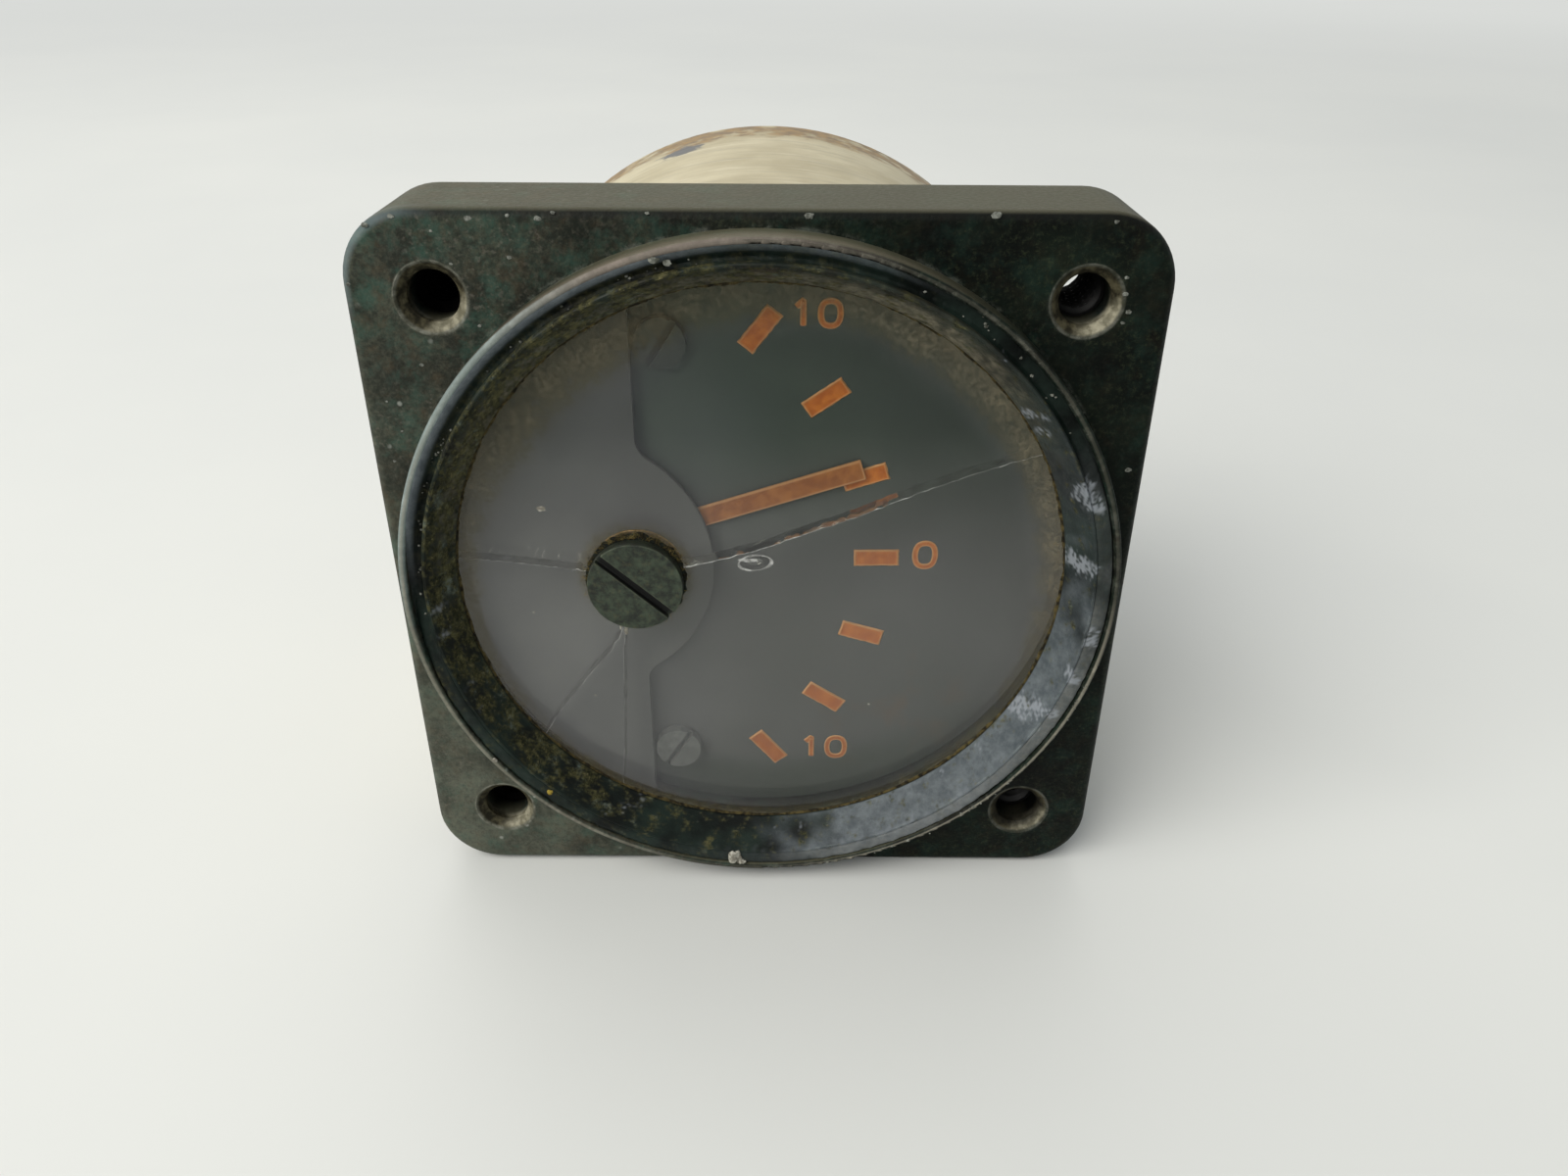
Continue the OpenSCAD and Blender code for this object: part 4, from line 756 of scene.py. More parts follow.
# chips in the face's enamel: the place of each and its size in mm
FACE_CHIPS = [(-27.7, 29.0, .55), (-25.8, 29.6, .5), (-20.4, 29.5, .6), (-17.6, 29.7, .35),
              (-15.5, 29.5, .6), (-14.4, 29.9, .35), (-7.8, 29.9, .35), (3.5, 29.8, .7),
              (16.6, 29.9, .8), (25.1, 29.5, .4), (-25.2, 18.8, .4), (-20.5, 21.8, .35),
              (28.8, 10.6, .55), (26.4, 25.6, .35), (26.5, 24.4, .5), (26.9, 23.1, .5),
              (26.6, 22.3, .35), (-28.3, 15.9, .25), (-27.5, 13.5, .22), (-28.5, 11.0, .28),
              (-27.7, 8.5, .2), (-21.8, 16.7, .3), (-22.0, 26.3, .3), (-17.8, 26.8, .4),
              (-23.1, 28.6, .3), (-29.6, 24.8, .4)]
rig.ride(surface("enamel_chips", [
    crumb(x, -9.5, z, 0.85 * size, 0.05, 0.6 * size, 200 + 2 * i)
    for i, (x, z, size) in enumerate(FACE_CHIPS)], close_rows=False, material=grime(
        "dusty_bare_casting", "#4C4E47", "#93968E")), "housing")


# --- Window -------------------------------------------------------------------------------------
# A disc of clear acrylic with a hole for the adjuster, held by the ring on a rubber gasket. It is
# hazed by fine scratches and a greasy film, thickened low down and at the left as painted light, and cracks run from
# the hole to its edge.
ADJUSTER_X = -10.35
# cast and polished acrylic: clear with sharp reflections, milky where the film lies on its front
aged_acrylic = empty_material("aged_clear_acrylic")
dusty = overlap(add("Attribute", attribute_name="dust").outputs["Fac"],
                noise(0.55, 0.36, 0.66, detail=8, rough=0.8, least=0.2))
hazed = overlap(add("Attribute", attribute_name="haze_and_painted_light").outputs["Fac"],
                noise(7, 0.3, 0.72, detail=6, least=0.7))
film = add("BsdfDiffuse", {"Color": laid_over("#A3A3AB", "#7B735E", add(
    "MapRange", {"Value": dusty, "From Max": 0.12}))})
film_amount = add("Math", {0: dusty, 1: hazed}, operation="ADD", use_clamp=True)
hazy = add("MixShader", {0: film_amount, 1: add("BsdfGlass", {
    "Color": "#F6F7F4", "Roughness": 0.0, "IOR": 1.49}), 2: film})
# daylight reaches the dial straight through the pane: as a shadow ray, or after a matt bounce
path = add("LightPath").outputs
after_matt = add("Math", {0: path["Diffuse Depth"], 1: 0.5}, operation="GREATER_THAN")
straight = add("Math", {0: path["Is Shadow Ray"], 1: after_matt}, operation="MAXIMUM")
add("OutputMaterial", {"Surface": add("MixShader", {
    0: straight, 1: hazy, 2: add("BsdfTransparent", {"Color": "#F2F2EE"})})})

# the disc's section runs from its rim in to the hole at the front, and back out behind
WINDOW_R, SHANK_HOLE_R, EASED = 28.1, 2.25, 0.1
inward = np.concatenate([[0, 0.004], np.linspace(0.02, 0.98, 56), [0.996, 1]])
front = np.where((inward == 0) | (inward == 1), WINDOW_FRONT + EASED, WINDOW_FRONT)
section_in = np.concatenate([inward, inward[::-1]])
section_y = np.concatenate([front, WINDOW_FRONT + WINDOW_BACK - front[::-1]])
angle = all_round(360)
pane_points = (1 - section_in[:, None]) * round_axis(WINDOW_R, angle, section_y) + section_in[
    :, None] * round_axis(SHANK_HOLE_R, angle, section_y, ADJUSTER_X)
pane_x, pane_z = pane_points[..., 0], pane_points[..., 2]
at_front = pane_points[..., 1] < (WINDOW_FRONT + WINDOW_BACK) / 2
bearing = np.degrees(np.arctan2(pane_z, pane_x))
from_axis = np.hypot(pane_x, pane_z)
top_right, right, top_left = (bell(bearing, *spread, 360) for spread in (
    (58, 42), (8, 34), (128, 42)))
band = bell(np.minimum(from_axis, 24.2), 24.2, 0.6 + 0.7 * top_right + 0.35 * right
            + 1.9 * top_left + 0.15 * lumps(pane_points, 9, 27))
edge_dust = band * (0.08 + 0.42 * top_right + 0.4 * right + 0.34 * top_left
                    + 0.14 * bell(bearing, 180, 40, 360))
low_dust = 0.4 * bell(np.minimum(from_axis, 24.75), 24.75, 0.55) * smooth_step(
    bearing % 360, 205, 240) * (1 - smooth_step(bearing % 360, 322, 350))
from_head = np.hypot(pane_x - ADJUSTER_X, pane_z)
above_head = np.sin(np.arctan2(pane_z, pane_x - ADJUSTER_X))
head_dust = bell(np.maximum(from_head, 4.0), 4.0, 0.8 + 0.25 * above_head) * (
    0.42 + 0.16 * above_head)
dust = np.maximum(np.maximum(edge_dust, low_dust), head_dust) * (
    1 + 0.18 * lumps(pane_points, 2.2, 28))
# partly painted light: the haze is thicker low down, where the pane mirrors the lit table, and at the left and upper
# left, towards the daylight
haze_and_painted_light = 0.015 + 0.02 * smooth_step(-pane_z, -12, 8) + 0.07 * smooth_step(
    -pane_x, -4, 16) + 0.03 * top_left + 0.006 * lumps(pane_points, 14, 29)
stands_for(surface("window_dressed", [pane_points], material=aged_acrylic, attributes={
    "dust": [np.clip(dust, 0, 0.8) * at_front],
    "haze_and_painted_light": [np.clip(haze_and_painted_light, 0, 1) * at_front]}), "window")


# --- Cracks in the window -----------------------------------------------------------------------
# Four cracks spread from the adjuster's hole, where the plastic was strained, and one has a chip.
# Each is a thin slanting gap that mirrors light inside the plastic, with a pale lip at the front.
crack_face = empty_material("air_gap_in_acrylic")
mirror = add("BsdfGlossy", {"Color": "#BEBEBA", "Roughness": 0.03})
# the gap throws no bright caustics on the dial: after a matt bounce it lets light pass
not_yet_matt = add("Math", {0: add("LightPath").outputs["Diffuse Depth"], 1: 0.5},
                   operation="LESS_THAN")
open_here = overlap(add("Attribute", attribute_name="open").outputs["Fac"], not_yet_matt)
add("OutputMaterial", {"Surface": add("MixShader", {
    0: open_here, 1: add("BsdfTransparent"), 2: mirror})})

# crushed acrylic: a broken white that lets some of what lies behind it through
crushed_acrylic = empty_material("crushed_acrylic")
crushed = add("BsdfPrincipled", {"Base Color": laid_over("#8A8B88", "#CCCDC9", noise(
    0.5, 0.4, 0.65)), "Roughness": 0.5, "IOR": 1.49})
lip_amount = add("MapRange", {"Value": noise(1.8, 0.35, 0.65), "To Min": 0.35, "To Max": 0.9})
add("OutputMaterial", {"Surface": add("MixShader", {
    0: lip_amount, 1: add("BsdfTransparent"), 2: crushed})})

# each crack: its points on the front face (x, z), how far it slants at the back, how open it is
# at its start and end, and the width of its crushed lip
CRACKS = {
    "right": ([(-7.0, 1.21), (-4.55, 1.68), (-0.7, 2.75), (3.9, 4.55), (7.8, 6.0), (9.8, 6.9),
               (14.3, 8.9), (20.3, 11.0), (24.6, 12.3)], (0.0, 0.08), (1.0, 0.3), 0.05),
    "left": ([(-13.9, 0.75), (-14.9, 1.0), (-17.5, 1.3), (-20.7, 1.75), (-24.9, 2.05)],
             (0.0, -0.15), (0.9, 0.7), 0.035),
    "low_left": ([(-11.6, -3.9), (-12.1, -5.9), (-15.1, -9.6), (-18.1, -13.6),
                  (-19.6, -16.2)], (-0.1, 0.0), (0.8, 0.3), 0.03),
    "low": ([(-11.3, -3.9), (-11.8, -6.0), (-12.15, -12.2), (-12.55, -18.7),
             (-12.9, -21.9)], (0.1, 0.0), (0.8, 0.3), 0.022),
}
faces, lips, open_faces = [], [], []
for number, (route, slant, opening, lip) in enumerate(CRACKS.values()):
    line = finer(eased(np.array(route), 3, closed=False), 0.12, closed=False)
    wander = np.stack([line[:, 0], 0 * line[:, 0], line[:, 1]], axis=1)
    line = line + 0.03 * np.stack([lumps(wander, 0.9, 60 + number),
                                   lumps(wander, 0.7, 70 + number)], axis=1)
    gone = np.linspace(0, 1, len(line))
    depth = np.linspace(0.02, 0.98, 9)[None, :]
    bow = np.sin(np.pi * depth) * 0.03 * lumps(wander, 4.0, 80 + number)[:, None]
    x, z = line[:, :1] + slant[0] * depth + bow, line[:, 1:] + slant[1] * depth + bow
    faces.append(np.stack([x, WINDOW_FRONT + depth * (WINDOW_BACK - WINDOW_FRONT) + 0 * x, z],
                          axis=2))
    open_faces.append(np.clip(opening[0] + (opening[1] - opening[0]) * gone[:, None]
                              + 0.12 * lumps(faces[-1], 1.5, 85 + number), 0.05, 1))
    ahead = np.gradient(line, axis=0)
    ahead /= np.linalg.norm(ahead, axis=1)[:, None]
    sideways = np.stack([-ahead[:, 1], ahead[:, 0]], axis=1)
    from_start = np.arange(len(line)) * 0.12
    width = lip * (0.7 + 0.3 * np.clip(lumps(wander, 1.4, 90 + number), -1.5, 2)
                   + 1.3 * np.exp(-from_start / 2.0)) * (1 - 0.6 * gone)
    turn = all_round(8).T
    lips.append(np.stack([
        line[:, :1] + width[:, None] * sideways[:, :1] * np.cos(turn),
        WINDOW_FRONT + 0.004 - 0.018 * np.sin(turn) + 0 * line[:, :1],
        line[:, 1:] + width[:, None] * sideways[:, 1:] * np.cos(turn)], axis=2))
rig.ride(surface("window_cracks", faces, close_rows=False, close_columns=False,
                material=crack_face, attributes={"open": open_faces}), "housing")
crack_lips = surface("window_crack_lips", lips, close_rows=False, material=crushed_acrylic)
crack_lips.visible_glossy = False
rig.ride(crack_lips, "housing")

CHIP_X, CHIP_Z, CHIP_LONG, CHIP_HIGH = -0.45, 1.75, 2.7, 1.4
around = all_round(64)


def on_chip(outward, y, lean):
    """Points of the chip's oval, at shares of its reach from its middle and at a depth."""
    x = CHIP_X + CHIP_LONG / 2 * outward * np.cos(around)
    z = CHIP_Z + CHIP_HIGH / 2 * outward * np.sin(around) + 0.12 * lean * np.cos(around)
    return np.stack([x, y + 0 * x, z], axis=2)


outward = np.linspace(0, 1, 12)
shell_depth = 0.55 * (1 - outward ** 2) * (1 + 0.08 * np.cos(14 * outward))
shell = on_chip(outward, WINDOW_FRONT + 0.02 + shell_depth, outward)
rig.ride(surface("window_chip", [shell], close_columns=False, material=crack_face,
                attributes={"open": [0.3 + 0 * shell[..., 0]]}), "housing")
tube_turn = all_round(8).T
tube_out = 1 + 0.095 * (1 + 0.4 * np.cos(3 * around + 1)) * np.cos(tube_turn)
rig.ride(surface("window_chip_lip", [on_chip(
    tube_out, WINDOW_FRONT + 0.004 - 0.02 * np.sin(tube_turn), 1)],
    material=crushed_acrylic), "housing")
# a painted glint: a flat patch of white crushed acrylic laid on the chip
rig.ride(surface("window_chip_painted_glint", [crumb(-0.95, -8.81, 2.0, 1.5, 0.04, 0.34, 115)],
                close_rows=False, material=crushed_acrylic), "housing")
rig.ride(surface("window_specks", [crumb(x, -8.81, z, *sizes) for x, z, *sizes in (
    (-17.64, 6.62, 0.62, 0.06, 0.42, 101), (9.5, -12.4, 0.2, 0.04, 0.16, 103),
    (-11.5, -4.75, 0.34, 0.05, 0.95, 109), (-11.95, -4.5, 0.16, 0.05, 0.5, 113),
    (-19.2, -3.1, 0.18, 0.04, 0.16, 105), (-14.6, -11.6, 0.2, 0.04, 0.2, 107))],
    close_rows=False, material=white_salts), "housing")


# --- Zero adjuster ------------------------------------------------------------------------------
# A slotted brass head, blackened, that turns in the window's hole on a sealing washer. Its edges
# and the slot are rubbed by the screwdriver, and fluffy dirt has gathered round its top.
# brass turned and blackened in a bath: a greenish black, grained at a fifth of a millimetre
blackened_brass = empty_material("blackened_brass")
black = laid_over("#121812", "#3A4535", noise(0.9, 0.34, 0.7, detail=7, rough=0.7))
black = laid_over(black, "#4C4A32", noise(0.5, 0.5, 0.7, detail=6), 0.4)
black = laid_over(black, "#6F745F", edge_wear(0.18), noise(0.7, 0.4, 0.62, detail=5), 0.6)
# painted shade: the slot's floor is blackened, and the head's sides behind its face a little over half as much
slot_shade = add("MapRange", {"Value": near_axis(ADJUSTER_X, 0, 3.55, 3.8), "To Min": 0.55})
black = laid_over(black, "#040504", along("Y", -9.93, -9.85), slot_shade)
coated(black, 0.55, {"IOR": 1.5, "Specular IOR Level": 0.4}, grain=0.18, depth=0.05,
       strength=0.6)
softened("zero_adjuster", 0.06, blackened_brass)

# nitrile rubber, moulded and aged: charcoal grey and dull, with a faint bloom
rubber = empty_material("aged_nitrile_rubber")
coated(laid_over("#1A1918", "#34322E", noise(1.5, 0.35, 0.7)), 0.75, {"IOR": 1.52}, grain=0.2,
       detail=2.0, depth=0.05)
for name in ("adjuster_gasket", "window_gasket", "case_gasket"):
    softened(name, 0.05, rubber)
softened("case_washers", 0.1, rubber)

# grease piled round the head's foot, thickest at the top
head_angle = all_round(420)
fluff = np.clip(0.12 + 0.32 * bell(np.degrees(head_angle), 85, 65, 360)
                + 0.05 * lumps(round_axis(5, head_angle, 0), 0.9, 111), 0.04, 0.6)
outward = np.array([0, 0.3, 0.65, 1.0, 1.02])
pile = np.array([0.2, 0.22, 0.12, 0.012, -0.01]) * (0.5 + fluff)
head_grime = round_axis(3.8 + outward * (0.2 + fluff), head_angle, WINDOW_FRONT - pile,
                        ADJUSTER_X)
head_grime[..., 1] -= 0.02 * lumps(head_grime, 0.25, 112)
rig.ride(surface("adjuster_grime", [head_grime], close_columns=False, material=grime(
    "blackened_grease", "#090C09", "#1E231B")), "housing")


def fibre(at, length, lean, seed):
    """A hair of dust: a thin tapering tube that leaves the head's foot and curls aside."""
    out_along = np.linspace(0, 1, 7)[:, None]
    thick = 0.03 * (1.05 - 0.8 * out_along)
    lift = 0.05 + 0.16 * np.sin(np.pi * out_along * 0.9) * (0.5 + (seed % 7) / 7)
    line = round_axis(3.85 + length * out_along, np.radians(at) + lean * out_along ** 2,
                      WINDOW_FRONT - lift, ADJUSTER_X)
    return line + round_axis(thick, all_round(4).T, 0)


rng = np.random.default_rng(9)
fibres = [fibre(rng.normal(88, 48), rng.uniform(0.3, 0.95), rng.normal(0, 0.1), i)
          for i in range(190)]
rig.ride(surface("adjuster_fibres", fibres, close_rows=False, material=grime(
    "brown_lint", "#2B2413", "#75673C")), "housing")


# --- Mask, dial plate and their screws ----------------------------------------------------------
# Sheet aluminium painted matt dark grey: the mask stands on two bushes over the dial's left part,
# and two slotted screws hold the dial on posts. The paint is matt, with a few rusty stains, and
# painted reflection and shade are laid into its tones.
def darker_top_paler_below(clouding, top, bottom, start, end, kind="SMOOTHSTEP"):
    """Two clouded tones for the top of a painted plate, and two paler ones lower down: a painted reflection, dark
    above and light below.
    """
    return laid_over(laid_over(*top, clouding), laid_over(*bottom, clouding),
                     along("Z", start, end, kind=kind))


# matt paint baked on sheet: a flat slate grey, darker and greener at the top and paler downwards as a painted
# reflection, and darker towards its right edge as painted shade
mask_paint = empty_material("matt_grey_mask_paint")
grey = darker_top_paler_below(noise(8, 0.34, 0.7, detail=6), ("#474F4A", "#525A54"), ("#5D5D60", "#68686A"),
              20, 2)
grey = laid_over(grey, "#4A4B4D", along("X", -20, -10, high=0.6))
coated(laid_over(grey, "#7B7B7A", edge_wear(0.2), 0.15), 0.68, {"IOR": 1.5})
softened("mask_plate", 0.08, mask_paint)

# the same paint on the dial with the same painted reflection, painted shade that darkens it at the right and low at
# its edge under the ring, and a faint rusty stain
dial_paint = empty_material("matt_grey_dial_paint")
grey = darker_top_paler_below(noise(10, 0.34, 0.7, detail=6), ("#3C4944", "#4A5650"), ("#4D4E51", "#5A5A5E"),
              14, -2)
grey = laid_over(grey, "#3C3E42", along("X", -2, 14, high=0.45))
grey = laid_over(grey, "#26302A", near_axis(0, 0, 23.5, 19.6), along("Z", -13, -21, high=0.85))
grey = laid_over(grey, "#5A4638", noise(3, 0.5, 0.7), near_axis(12.0, -15.0, 1.0, 11.0), 0.45)
coated(grey, 0.75, {"IOR": 1.5}, grain=0.3, detail=2.0, depth=0.01, strength=0.06)
softened("dial_plate", 0.06, dial_paint)

# the screws were painted with the dial; the upper one is dark and the lower one paler, the same painted reflection as
# on the dial
screw_paint = empty_material("rubbed_grey_screw_paint")
coated(darker_top_paler_below(noise(1.2, 0.34, 0.7, detail=5), ("#37403B", "#434C47"), ("#5A5C5D", "#707273"),
              2, -2, "LINEAR"), 0.55, {"IOR": 1.5})
softened("dial_screws", 0.12, screw_paint)


# --- Dial marks and numerals --------------------------------------------------------------------
# Seven blocks of fluorescent orange paint, laid thick in shallow pockets, and three plain numbers
# in the same paint. The paint has aged to a coppery brown with paler raised edges.
orange_paint = empty_material("aged_fluorescent_orange_paint")
orange = laid_over("#B85F16", "#D97C26", noise(0.9, 0.34, 0.68, detail=5))
orange = laid_over(orange, "#9A5018", along("Z", 18, -20, high=0.45))
orange = laid_over(orange, "#DDAA74", add("Attribute", attribute_name="edge").outputs["Fac"],
                   0.75)
coated(orange, 0.55, {"IOR": 1.5}, grain=0.3, detail=3.0, depth=0.05, strength=0.5)

PIVOT_X, DIAL_FRONT = -16.0, -4.3
MARK_CIRCLE_R, MARK_LONG, MARK_WIDE, MARK_ANGLES = 25.84, 3.85, 1.55, (
    51.85, 34.85, 17.85, 0.85, -16.15, -33.15, -50.15)


def paint_block(x, z, slope, length, width, proud, seed):
    """A pad of paint: a grid over a rectangle whose height is a low dome with a rounded lip."""
    u, v = np.meshgrid(np.linspace(-1, 1, 33), np.linspace(-1, 1, 17), indexing="ij")
    to_edge = np.minimum((1 - abs(u)) * length / 2, (1 - abs(v)) * width / 2)
    edge = 1 - smooth_step(to_edge, 0.05, 0.24)
    height = proud * (smooth_step(to_edge, 0, 0.1) * (0.75 + 0.5 * edge))
    a, b = u * length / 2, v * width / 2
    cos, sin = np.cos(np.radians(slope)), np.sin(np.radians(slope))
    place = np.stack([x + a * cos - b * sin, 0 * a, z + a * sin + b * cos], axis=2)
    ragged = 0.02 * (1 - smooth_step(to_edge, 0, 0.1))
    place[..., 0] += ragged * lumps(place, 0.6, seed)
    place[..., 2] += ragged * lumps(place, 0.6, seed + 1)
    place[..., 1] = DIAL_FRONT + 0.01 - height + proud * 0.1 * lumps(place, 0.7, seed + 2)
    under = place.copy()
    under[..., 1] = DIAL_FRONT + 0.13
    grid = np.concatenate([place, under[::-1]], axis=0)
    return grid, np.concatenate([edge, edge[::-1]], axis=0)


marks = [paint_block(PIVOT_X + MARK_CIRCLE_R * np.cos(np.radians(a)),
                     MARK_CIRCLE_R * np.sin(np.radians(a)), a, MARK_LONG, MARK_WIDE, 0.09,
                     120 + 3 * i) for i, a in enumerate(MARK_ANGLES)]
stands_for(surface("dial_marks_dressed", [grid for grid, _ in marks], close_columns=False,
                   material=orange_paint, attributes={"edge": [e for _, e in marks]}),
           "dial_marks")

STROKE = 0.52


def stroke(route, closed):
    """A painted stroke: a flat-topped low bead of 9 points carried along the route's sideways."""
    route = finer(eased(np.array(route, float), 3, closed), 0.1, closed)
    ahead = (np.roll(route, -1, 0) - np.roll(route, 1, 0) if closed
             else np.gradient(route, axis=0))
    ahead /= np.linalg.norm(ahead, axis=1)[:, None]
    aside = np.stack([-ahead[:, 1], ahead[:, 0]], axis=1)
    reach = STROKE / 2 * np.array([-1, -0.97, -0.8, -0.35, 0.35, 0.8, 0.97, 1, 0])
    rise = np.array([-0.03, 0.03, 0.075, 0.06, 0.06, 0.075, 0.03, -0.03, -0.05])
    number = np.arange(len(route))[:, None]
    taper = 1.0 if closed else smooth_step(np.minimum(number, number[::-1]), -0.6, 1.6)
    x = route[:, :1] + aside[:, :1] * reach * taper
    z = route[:, 1:] + aside[:, 1:] * reach * taper
    edge = np.array([1, 1, 0.9, 0, 0, 0.9, 1, 1, 0]) + 0 * x
    return np.stack([x, DIAL_FRONT - rise * taper + 0 * x, z], axis=2), edge


def nought(x, z, width, height):
    """The route of a nought: twelve points, the cosine and sine of each to the power 0.8."""
    turn = all_round(12)
    across, up = (np.sign(t) * abs(t) ** 0.8 for t in (np.cos(turn), np.sin(turn)))
    return np.concatenate([x + width / 2 * across, z + height / 2 * up], axis=1)


def one(x, z, height):
    """The route of a one: a short flag and an upright."""
    top, foot = z + height / 2, z - height / 2
    return [(x - 0.55, top - 0.5), (x - 0.02, top), (x, top - 0.02), (x, foot)]


open_strokes = [one(3.3, 21.6, 2.0), one(4.6, -19.8, 2.2)]
closed_strokes = [nought(5.4, 21.6, 1.55, 2.0), nought(14.0, 0.68, 1.75, 2.3),
                  nought(6.9, -19.8, 1.7, 2.2)]
for name, routes, closed in (("dial_numeral_ones", open_strokes, False),
                             ("dial_numeral_noughts", closed_strokes, True)):
    strokes = [stroke(route, closed) for route in routes]
    numerals = surface(name, [grid for grid, _ in strokes], close_rows=closed,
                       material=orange_paint, attributes={"edge": [e for _, e in strokes]})
    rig.ride(numerals, "housing")
    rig.slot(numerals, "orange_paint")


# --- Pointer ------------------------------------------------------------------------------------
# A strip of aluminium that steps forward over the dial. Its blade is painted with the same orange
# and has paler edges; the root and the arms, hidden by the mask, are bare.
# sprayed paint on rolled sheet: coppery orange and half matt, then bright sheet past the root
pointer_finish = empty_material("orange_paint_on_aluminium")
POINTER_SLOPE, BLADE_SET, BLADE_WIDE, BLADE_END, EDGE_IN, EDGE_OUT = (
    18.1, 0.75, 1.75, 25.9, 0.22, 0.08)
from_pivot = add("Mapping", {"Vector": where, "Location": (-PIVOT_X / 1000, 0, 0)})
level = add("Mapping", {"Vector": from_pivot, "Rotation": (0, np.radians(POINTER_SLOPE), 0)})
level = add("SeparateXYZ", {0: level})
off_middle = add("Math", {0: level.outputs["Z"], 1: BLADE_SET / 1000}, operation="SUBTRACT")
to_side = add("Math", {0: off_middle}, operation="ABSOLUTE")
side_edge, tip_edge = (add("MapRange", {
    "Value": value, "From Min": (limit - EDGE_IN) / 1000, "From Max": (limit - EDGE_OUT) / 1000},
    interpolation_type="SMOOTHSTEP") for value, limit in (
        (to_side, BLADE_WIDE / 2), (level.outputs["X"], BLADE_END)))
blade_edge = add("Math", {0: side_edge, 1: tip_edge}, operation="MAXIMUM")
blade_tone = laid_over("#8F5122", "#AC6A30", noise(1.1, 0.34, 0.68, detail=5))
orange_coat = add("BsdfPrincipled", {"Base Color": laid_over(
    blade_tone, "#C99668", blade_edge, 0.7), "Roughness": 0.5, "IOR": 1.5})
bare_sheet = add("BsdfPrincipled", {"Base Color": laid_over("#A9ABAD", "#C3C5C7", noise(
    0.4, 0.4, 0.6)), "Metallic": 1.0, "Roughness": 0.38})
painted = add("MapRange", {"Value": level.outputs["X"], "From Min": 0.0098,
                           "From Max": 0.0104})
add("OutputMaterial", {"Surface": add("MixShader", {
    0: painted, 1: bare_sheet, 2: orange_coat})})
softened("pointer", 0.05, pointer_finish)


# --- Case ---------------------------------------------------------------------------------------
# A drawn aluminium can, enamelled cream and slid over the flange's spigot. The cream is yellowed,
# scratched along the can, and worn to a rusty brown round the rear corner.
# stoved enamel on a drawn can: cream and half gloss, softly dented every few millimetres
cream_enamel = empty_material("yellowed_cream_enamel")
cream = laid_over("#A69B79", "#C7BE9F", noise(12, 0.32, 0.7, detail=7, rough=0.6))
on_back, on_wall = along("Y", 37.4, 37.65), along("Y", 37.65, 37.4)
# round the can a radian is 29 mm, and the streaks are drawn out twelve times that way
CAN_R, DRAWN_OUT = 29.2, 12
place = add("SeparateXYZ", {0: where}).outputs
turn_round = add("Math", {0: place["X"], 1: place["Z"]}, operation="ARCTAN2")
unrolled = add("CombineXYZ", {0: overlap(turn_round, CAN_R / 1000 / DRAWN_OUT), 1: place["Y"]})
cream = laid_over(cream, "#8F8871", noise(1.1, 0.5, 0.74, detail=5, place=unrolled), on_wall, 0.5)
cream = laid_over(cream, "#DDD8C6", noise(0.8, 0.55, 0.75, detail=4, place=unrolled), on_wall,
                  0.4)
# the brown of the rear corner: a ragged band on the wall, and the outer part of the back
ragged_back = add("Math", {0: place["Y"], 1: add("MapRange", {"Value": noise(
    3, 0.2, 0.8, detail=6), "To Min": -0.0022, "To Max": 0.0022})}, operation="ADD")
rear_band = add("MapRange", {"Value": ragged_back, "From Min": 0.0282, "From Max": 0.0315},
                interpolation_type="SMOOTHSTEP")
off_back = add("Math", {0: 1.0, 1: overlap(on_back, near_axis(0, 0, 25.5, 28.5))},
               operation="SUBTRACT")
cream = laid_over(cream, laid_over("#5E4416", "#8A6826", noise(1.3, 0.36, 0.66, detail=6)),
                  rear_band, off_back, noise(2.5, 0.3, 0.52, detail=5), 0.9)
# painted shade: a dark line round the rounding of the rear corner
cream = laid_over(cream, "#3E3423", along("Y", 36.4, 37.2), 0.75, near_axis(0, 0, 28.9, 28.2))
# a knock at the top, through to the blackened metal
KNOCK_AT = (-0.0084, 0.0278, 0.0280)
from_knock = add("VectorMath", {0: where, 1: KNOCK_AT}, operation="DISTANCE")
knock_edge = add("Math", {0: from_knock, 1: overlap(noise(1.5, 0.3, 0.7), 0.0012)},
                 operation="ADD")
knocked = add("MapRange", {"Value": knock_edge, "From Min": 0.0031, "From Max": 0.0023})
coated(laid_over(cream, "#3B404A", knocked, 0.9), 0.48, {"IOR": 1.5}, grain=5, detail=3.0,
       depth=0.6, strength=0.25)
softened("rear_case", 0.15, cream_enamel)


# --- Terminals ----------------------------------------------------------------------------------
# Two threaded brass studs in moulded phenolic bushes at the back of the case, each with a hexagon
# nut and a tinned washer outside, and another nut, washer and solder tag inside.
def metal(name, dark, light, roughness, grain):
    """A bare metal: two tones clouded over 2 mm, with fine tool marks of some mm in its bump."""
    made = empty_material(name)
    marks = add("TexNoise", {"Vector": where, "Scale": pitch(grain), "Detail": 4.0})
    gloss = add("MapRange", {"Value": marks, "To Min": roughness - 0.1,
                             "To Max": roughness + 0.12})
    coated(laid_over(dark, light, noise(2.0, 0.35, 0.68, detail=6)), gloss, {"Metallic": 1.0},
           grain=grain, depth=0.04, strength=0.5)
    return made


# turned brass is warm and yellow, and tinned brass a pale cool grey
brass = metal("turned_brass", "#8E7440", "#C2A262", 0.36, 0.2)
tinned = metal("tinned_brass", "#9C9C98", "#C4C4BE", 0.34, 0.25)
STUD_X, BORE_R, STUD_PITCH = 10.0, 2.05, 0.7
INNER_NUT, OUTER_NUT, NUT_THICK, NUT_FLATS = 29.8, 40.5, 2.6, 7.0


